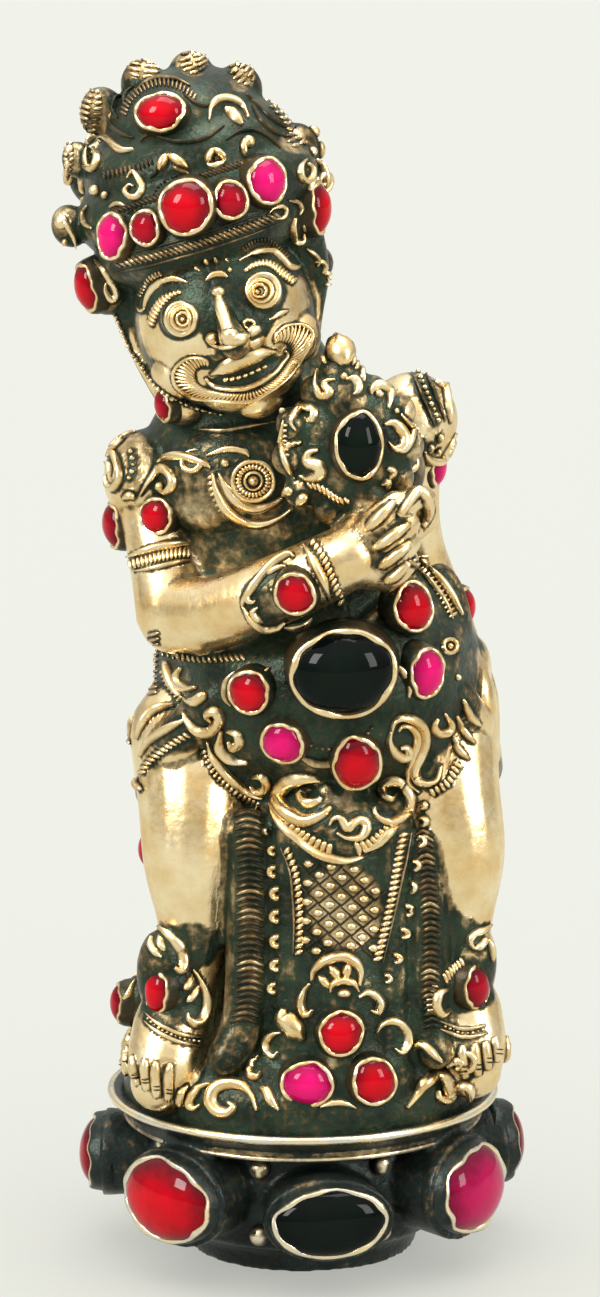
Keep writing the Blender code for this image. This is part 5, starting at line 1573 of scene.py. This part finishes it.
def paintSkin(piece, ornament):
    data = piece.data
    hollow = hollowOf(data, 6)
    places, normals, _ = meshArrays(data)
    gilt = patches[piece.name]["ground"] + 0.9 * nearness(places, bare, 1.3, 0.35) * (1.0 - patches[piece.name]["ground"])
    u, v = pixelsOf(places)
    front = np.clip(-2.2 * (normals @ np.array(viewAxes()[2])) - 0.1, 0.0, 1.0)
    for patch in patches[piece.name]["bare"]:
        gilt = np.maximum(gilt, front * patchShare(u, v, patch))
    for patch in patches[piece.name]["dark"]:
        gilt = gilt * (1.0 - front * patchShare(u, v, patch))
    gilt = gilt - 9.0 * np.clip(hollow, 0.0, 0.05) + 5.0 * np.clip(-hollow - 0.004, 0.0, 0.05)
    # Darker next to the raised ornament: patina kept in the crease, and painted shade where the ornament meets the skin
    gilt = gilt * (1.0 - 0.75 * nearness(places, ornament, 0.45, 0.1))
    for patch in patches[piece.name]["rubbed"]:
        gilt = np.maximum(gilt, front * patchShare(u, v, patch))
    setValues(data, "gilt", np.clip(gilt, 0.0, 1.0))
    data.materials.append(finishes["gilt"])


ornament = joinedTree(reliefs)
for piece in skinPieces.values():
    paintSkin(piece, ornament)
print("skin is painted")


# Stones in their collars


def wobble(angle, seed, share):
    return 1.0 + share * (
        0.5 * math.sin(2 * angle + seed) + 0.32 * math.sin(3 * angle + 2.3 * seed) + 0.18 * math.sin(5 * angle + seed)
    )


def stoneOutline(halfX, halfY, seed):
    wander = min(setting["girdle"], 0.3 * mm / max(halfX, halfY))
    made = []
    for k in range(setting["sides"]):
        a = k * math.tau / setting["sides"]
        reach = 0.985 * wobble(a, seed, wander)
        made.append(Vector((halfX * math.cos(a) * reach, halfY * math.sin(a) * reach, 0.0)))
    return made


def makeStonePiece(name, colour, place, outline, dome):
    mesh = bmesh.new()
    heart = mesh.verts.layers.float.new("heart")
    # Each vertex holds the painted glow: light through the stone, strongest at the crest and in the lower half, none at
    # the girdle
    shares = [(0.96, -setting["depth"] * 0.93), (1.0, -0.3), (1.0, 0.0)]
    rings = [([p * k for p in outline], z * mm, 0.0) for k, z in shares]
    for step in range(1, 12):
        a = step / 12 * math.pi / 2
        rings.append(([p * math.cos(a) for p in outline], dome * math.sin(a), math.sin(a) ** 1.8))
    tall = max(p.y for p in outline)
    rows = []
    for ring, z, value in rings:
        row = []
        for p in ring:
            vertex = mesh.verts.new(place @ Vector((p.x, p.y, z)))
            vertex[heart] = value - setting["glow"] * p.y / tall
            row.append(vertex)
        rows.append(row)
    count = len(outline)
    for low, high in zip(rows, rows[1:]):
        for k in range(count):
            n = (k + 1) % count
            mesh.faces.new((low[k], low[n], high[n], high[k]))
    crest = mesh.verts.new(place @ Vector((0, 0, dome)))
    crest[heart] = 1.0
    foot = mesh.verts.new(place @ Vector((0, 0, -setting["depth"] * 0.93 * mm)))
    for k in range(count):
        n = (k + 1) % count
        mesh.faces.new((rows[-1][k], rows[-1][n], crest))
        mesh.faces.new((rows[0][n], rows[0][k], foot))
    return newPiece(mesh, name, finishes[colour])


def addCollar(mesh, layer, place, outline, dome, seed, root, sides=0.45):
    # A thin collar whose upper edge is rubbed over the stone. Its outer wall takes the value sides and grows darker
    # towards its root: on the figure's collars this is painted shade, on the ring's cups the blackened silver.
    wall = setting["wall"]
    count = len(outline)
    rows = []
    for k, p in enumerate(outline):
        a = k * math.tau / count
        out = Vector((p.x, p.y, 0)).normalized()
        high = dome * (0.36 + 0.07 * math.sin(4 * a + seed) + 0.05 * math.sin(9 * a + 2 * seed))
        tight = math.sqrt(max(0.0, 1 - (high / dome) ** 2))
        thick = 1.0 + 0.35 * math.sin(3 * a + 1.7 * seed) + 0.2 * math.sin(7 * a + seed)
        # Rubbed rim bright; the wall and the root under it dark, painted shade on the figure's collars
        column = [
            (wall + 0.30, -root, 0.2 * sides), (wall + 0.12, -0.9, 0.5 * sides), (wall, -0.2, 0.9 * sides),
            (wall - 0.16, high / mm - 0.34, sides), (wall - 0.24, high / mm - 0.1, 0.35 + 0.5 * sides),
            (wall - 0.38 + 0.05 * thick, high / mm + 0.08 * thick, 1.0), (0.03, high / mm + 0.08, 1.0), (-0.03, high / mm + 0.01, 0.8),
        ]
        row = []
        for reach, z, value in column:
            base = p if reach > 0.3 else p * (tight + (1 - tight) * max(0.0, reach) / 0.3)
            vertex = mesh.verts.new(place @ (base + out * (reach * mm) + Vector((0, 0, z * mm))))
            vertex[layer] = value
            row.append(vertex)
        inner = mesh.verts.new(place @ (p * 0.9 + Vector((0, 0, -root * mm))))
        inner[layer] = 0.0
        row.append(inner)
        rows.append(row)
    for k in range(count):
        near, far = rows[k], rows[(k + 1) % count]
        for i in range(len(near)):
            j = (i + 1) % len(near)
            mesh.faces.new((near[i], far[i], far[j], near[j]))


collars = bmesh.new()
collarGiltAndShade = collars.verts.layers.float.new("gilt")
cupRims = bmesh.new()
cupGilt = cupRims.verts.layers.float.new("gilt")
stonePieces = {}
seats = {}
for step, (name, (colour, turn, lift)) in enumerate(stones.items()):
    node = "stone_" + name
    out = facing(turn, lift)
    centre, turned, halfX, halfY, dome = stoneSeat(node, out)
    place = Matrix.Translation(centre) @ turned
    outline = stoneOutline(halfX, halfY, 1.9 * step)
    piece = makeStonePiece("stone" + "".join(word.capitalize() for word in name.split("_")), colour, place, outline, dome)
    stonePieces[node] = piece
    seats[name] = (centre, out, halfX, halfY, dome)
    # The figure's collar walls are kept dark as painted shade, darker still round the belly, base, back, held jewel and
    # side stones; the ring's cups are blackened silver
    if name.startswith("ring"):
        addCollar(cupRims, cupGilt, place, outline, dome, 1.3 * step, 2.0, 0.06)
    else:
        addCollar(collars, collarGiltAndShade, place, outline, dome, 1.3 * step, setting["root"], 0.15 if name.startswith(("be", "ba", "h")) or "side" in name else 0.24)
collarPiece = newPiece(collars, "stoneCollars", finishes["ridge"])
cupRimPiece = newPiece(cupRims, "ringCollars", finishes["silver"])
print("stones are set")


# The ring, blackened, with bright wires and grains

ring = {
    "flangeRadius": 13.4,
    "flangeHeight": 2.4,
    "bodyRadius": 17.6,
    "rimRadius": 23.4,
    "wire": 0.5,
    "collarRadius": 21.2,
    "collarHeight": 3.7,
    "dishDepth": 0.9,
    "dishRadius": 21.3,
    "cupWall": 0.95,
    "grain": 1.25,
    "grainRises": (-4.8, 3.4),
    "voxel": 0.46,
    "sides": 180,
}
ring["height"] = ringHigh.z / mm
ring["cupHeight"] = ring["flangeHeight"] + 0.5 * (ring["height"] - ring["collarHeight"] - ring["flangeHeight"]) + 1.3


def turnedShape(mesh, profile, sides, wander=0.0):
    loops = []
    for r, z in profile:
        loop = []
        for k in range(sides):
            a = k * math.tau / sides
            away = r + wander * noise.noise(Vector((2.0 * math.cos(a), 2.0 * math.sin(a), 0.3 * z)))
            loop.append(Vector((away * math.cos(a), away * math.sin(a), z)) * mm)
        loops.append(loop)
    closeLoops(mesh, loops)


def makeRingBody():
    mesh = bmesh.new()
    top = ring["height"]
    high = top - ring["collarHeight"]
    low = ring["flangeHeight"]
    profile = smoothLine(
        [
            (ring["flangeRadius"], 0.0), (ring["flangeRadius"] + 0.6, low - 0.3), (ring["flangeRadius"] + 1.4, low + 0.5),
            (ring["bodyRadius"] - 1.0, low + 1.6), (ring["bodyRadius"], (low + high) / 2), (ring["bodyRadius"] - 0.8, high - 0.4),
        ],
        4,
    )
    profile += [
        (ring["collarRadius"] - 0.5, high + 0.1), (ring["collarRadius"] + 0.1, high + 0.35), (ring["collarRadius"] + 0.15, high + 0.8),
        (ring["collarRadius"], high + 1.3), (ring["collarRadius"] + 0.5, high + 1.9), (ring["rimRadius"] - 0.9, top - 1.3),
        (ring["rimRadius"] - 0.35, top - 0.9), (ring["rimRadius"] - 0.15, top - 0.45), (ring["rimRadius"] - 0.4, top - 0.05),
        (ring["dishRadius"] + 0.4, top - 0.15), (ring["dishRadius"], top - 0.3), (ring["dishRadius"] - 0.1, top - ring["dishDepth"]),
    ]
    turnedShape(mesh, profile, ring["sides"], 0.1)
    for name, (centre, out, halfX, halfY, dome) in seats.items():
        if not name.startswith("ring"):
            continue
        turned = frameAlong(out)
        back = centre.dot(out) / mm - 14.5
        loops = []
        for reach, z in ((0.80, -back), (0.86, -0.6 * back), (0.95, -0.25 * back), (0.995, -1.0), (1.0, -0.35)):
            loop = []
            for k in range(48):
                a = k * math.tau / 48
                wide = (halfX + ring["cupWall"] * mm) * reach * math.cos(a)
                tall = (halfY + ring["cupWall"] * mm) * (0.5 * reach + 0.5) * math.sin(a)
                loop.append(centre + turned @ Vector((wide, tall, z * mm)))
            loops.append(loop)
        closeLoops(mesh, loops)
    return fuseForms(mesh, "ringBody", ring["voxel"], 2)


ringBody = makeRingBody()
ringBody.data.materials.append(finishes["silver"])
ringHollow = hollowOf(ringBody.data, 5)
setValues(ringBody.data, "gilt", np.clip(0.1 - 3.0 * ringHollow, 0.0, 0.26))


def addWireRing(mesh, layer, radius, height, thick, bright, sides=220):
    rows = []
    for k in range(sides):
        a = k * math.tau / sides
        paintedFrontLight = 0.5 - 0.5 * math.sin(a)
        away = radius + 0.06 * math.sin(3 * a + 0.7)
        wire = thick * (1 + 0.12 * noise.noise(Vector((6 * math.cos(a), 6 * math.sin(a), height))))
        row = []
        for n in range(10):
            b = n * math.tau / 10
            out = away + wire * math.cos(b)
            place = Vector((out * math.cos(a), out * math.sin(a), height + wire * math.sin(b))) * mm
            vertex = mesh.verts.new(place)
            # Bright metal all round, brighter still on the front half towards the lamps as painted light
            vertex[layer] = bright * (0.45 + 0.55 * paintedFrontLight)
            row.append(vertex)
        rows.append(row)
    for k in range(sides):
        near, far = rows[k], rows[(k + 1) % sides]
        for n in range(10):
            m = (n + 1) % 10
            mesh.faces.new((near[n], far[n], far[m], near[m]))


def makeRingTrim():
    mesh = bmesh.new()
    layer = mesh.verts.layers.float.new("gilt")
    top = ring["height"]
    addWireRing(mesh, layer, ring["rimRadius"] - 0.5, top - 0.5, ring["wire"], 1.0)
    addWireRing(mesh, layer, ring["collarRadius"], top - ring["collarHeight"] + 0.45, 0.3, 0.62)
    turns = [stones[name][1] for name in stones if name.startswith("ring")]
    for step, turn in enumerate(turns):
        following = turns[(step + 1) % len(turns)]
        between = turn + 0.5 * ((following - turn) % 360.0)
        for rise in ring["grainRises"]:
            middle = facing(between) * ((ring["bodyRadius"] - 0.1) * mm) + Vector((0, 0, (ring["cupHeight"] + rise) * mm))
            grain = addBall(mesh, middle, (ring["grain"],) * 3, None, 24, 16)
            out = facing(between)
            for vertex in grain:
                away = (vertex.co - middle).dot(out) / (ring["grain"] * mm)
                vertex[layer] = 0.25 + 0.6 * max(0.0, away) ** 2
    return newPiece(mesh, "ringWiresAndGrains", finishes["silver"])


ringTrim = makeRingTrim()
print("ring is made")


# Hand over, floor, lights and camera

for piece in (*skinPieces.values(), *reliefs, collarPiece):
    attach(piece, "root")
    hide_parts("figure")
for piece in (ringBody, ringTrim, cupRimPiece):
    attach(piece, "root")
    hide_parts("jewelled_ring")
for node, piece in stonePieces.items():
    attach(piece, "root")
    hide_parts(node)

studio = {
    "floorHalf": 6.0,
    "floorColour": (0.80, 0.815, 0.77),
    "floorGlow": (0.79, 0.80, 0.735),
    "worldColour": (1.0, 1.0, 0.965),
    "zenithLight": 1.5,
    "horizonLight": 0.34,
    # where each light stands, its size in metres, its power in watts and its colour
    "lights": {
        "leftWindow": ((-0.62, -0.55, 0.62), (0.30, 0.46), 10.0, (1.0, 0.98, 0.95)),
        "rightWindow": ((0.70, -0.50, 0.40), (0.26, 0.46), 5.0, (1.0, 0.98, 0.95)),
        "overhead": ((0.05, 0.10, 0.95), (0.70, 0.50), 7.0, (1.0, 1.0, 1.0)),
    },
}

floorMesh = bmesh.new()
bmesh.ops.create_grid(floorMesh, x_segments=1, y_segments=1, size=studio["floorHalf"])
floorMaterial, floorTree, floorShader = newMaterial("paleFloor")
floorShader.inputs["Base Color"].default_value = (*(0.5 * part for part in studio["floorColour"]), 1.0)
floorShader.inputs["Emission Color"].default_value = (*studio["floorGlow"], 1.0)
floorShader.inputs["Emission Strength"].default_value = 0.5
floorShader.inputs["Roughness"].default_value = 0.7
floor = newPiece(floorMesh, "floor", floorMaterial, smooth=False)

world = bpy.data.worlds.new("studioAir")
world.use_nodes = True
tree = world.node_tree
air = tree.nodes["Background"]
air.inputs["Color"].default_value = (*studio["worldColour"], 1.0)
direction = tree.nodes.new("ShaderNodeTexCoord")
split = tree.nodes.new("ShaderNodeSeparateXYZ")
tree.links.new(direction.outputs["Generated"], split.inputs["Vector"])
height = mathNode(tree, "MAXIMUM", split.outputs["Z"], 0.0)
rise = studio["zenithLight"] - studio["horizonLight"]
glow = mathNode(tree, "ADD", mathNode(tree, "MULTIPLY", height, rise), studio["horizonLight"])
tree.links.new(glow, air.inputs["Strength"])
bpy.context.scene.world = world

litPieces = bpy.data.collections.new("litPieces")
for piece in (*skinPieces.values(), *reliefs, *stonePieces.values(), collarPiece, ringBody, ringTrim, cupRimPiece):
    litPieces.objects.link(piece)
for name, (place, size, power, colour) in studio["lights"].items():
    lamp = bpy.data.lights.new(name, "AREA")
    lamp.shape = "RECTANGLE"
    lamp.size, lamp.size_y = size
    lamp.energy = power
    lamp.color = colour
    lampObject = bpy.data.objects.new(name, lamp)
    toward = Vector((0, 0, 0.07)) - Vector(place)
    lampObject.matrix_world = Matrix.Translation(place) @ toward.to_track_quat("-Z", "Y").to_matrix().to_4x4()
    lampObject.light_linking.receiver_collection = litPieces
    bpy.context.scene.collection.objects.link(lampObject)

camera = bpy.data.cameras.new("camera")
camera.sensor_width = 36.0
camera.lens = picture["focus"] * camera.sensor_width / picture["longSide"]
camera.clip_start = 0.01
cameraObject = bpy.data.objects.new("camera", camera)
across, up, forward = viewAxes()
cameraPlace = Matrix((across, up, -forward)).transposed().to_4x4()
cameraPlace.translation = eyeAt()
cameraObject.matrix_world = cameraPlace
bpy.context.scene.collection.objects.link(cameraObject)
bpy.context.scene.camera = cameraObject
bpy.context.scene.view_settings.view_transform = "Standard"

print("studio is ready")
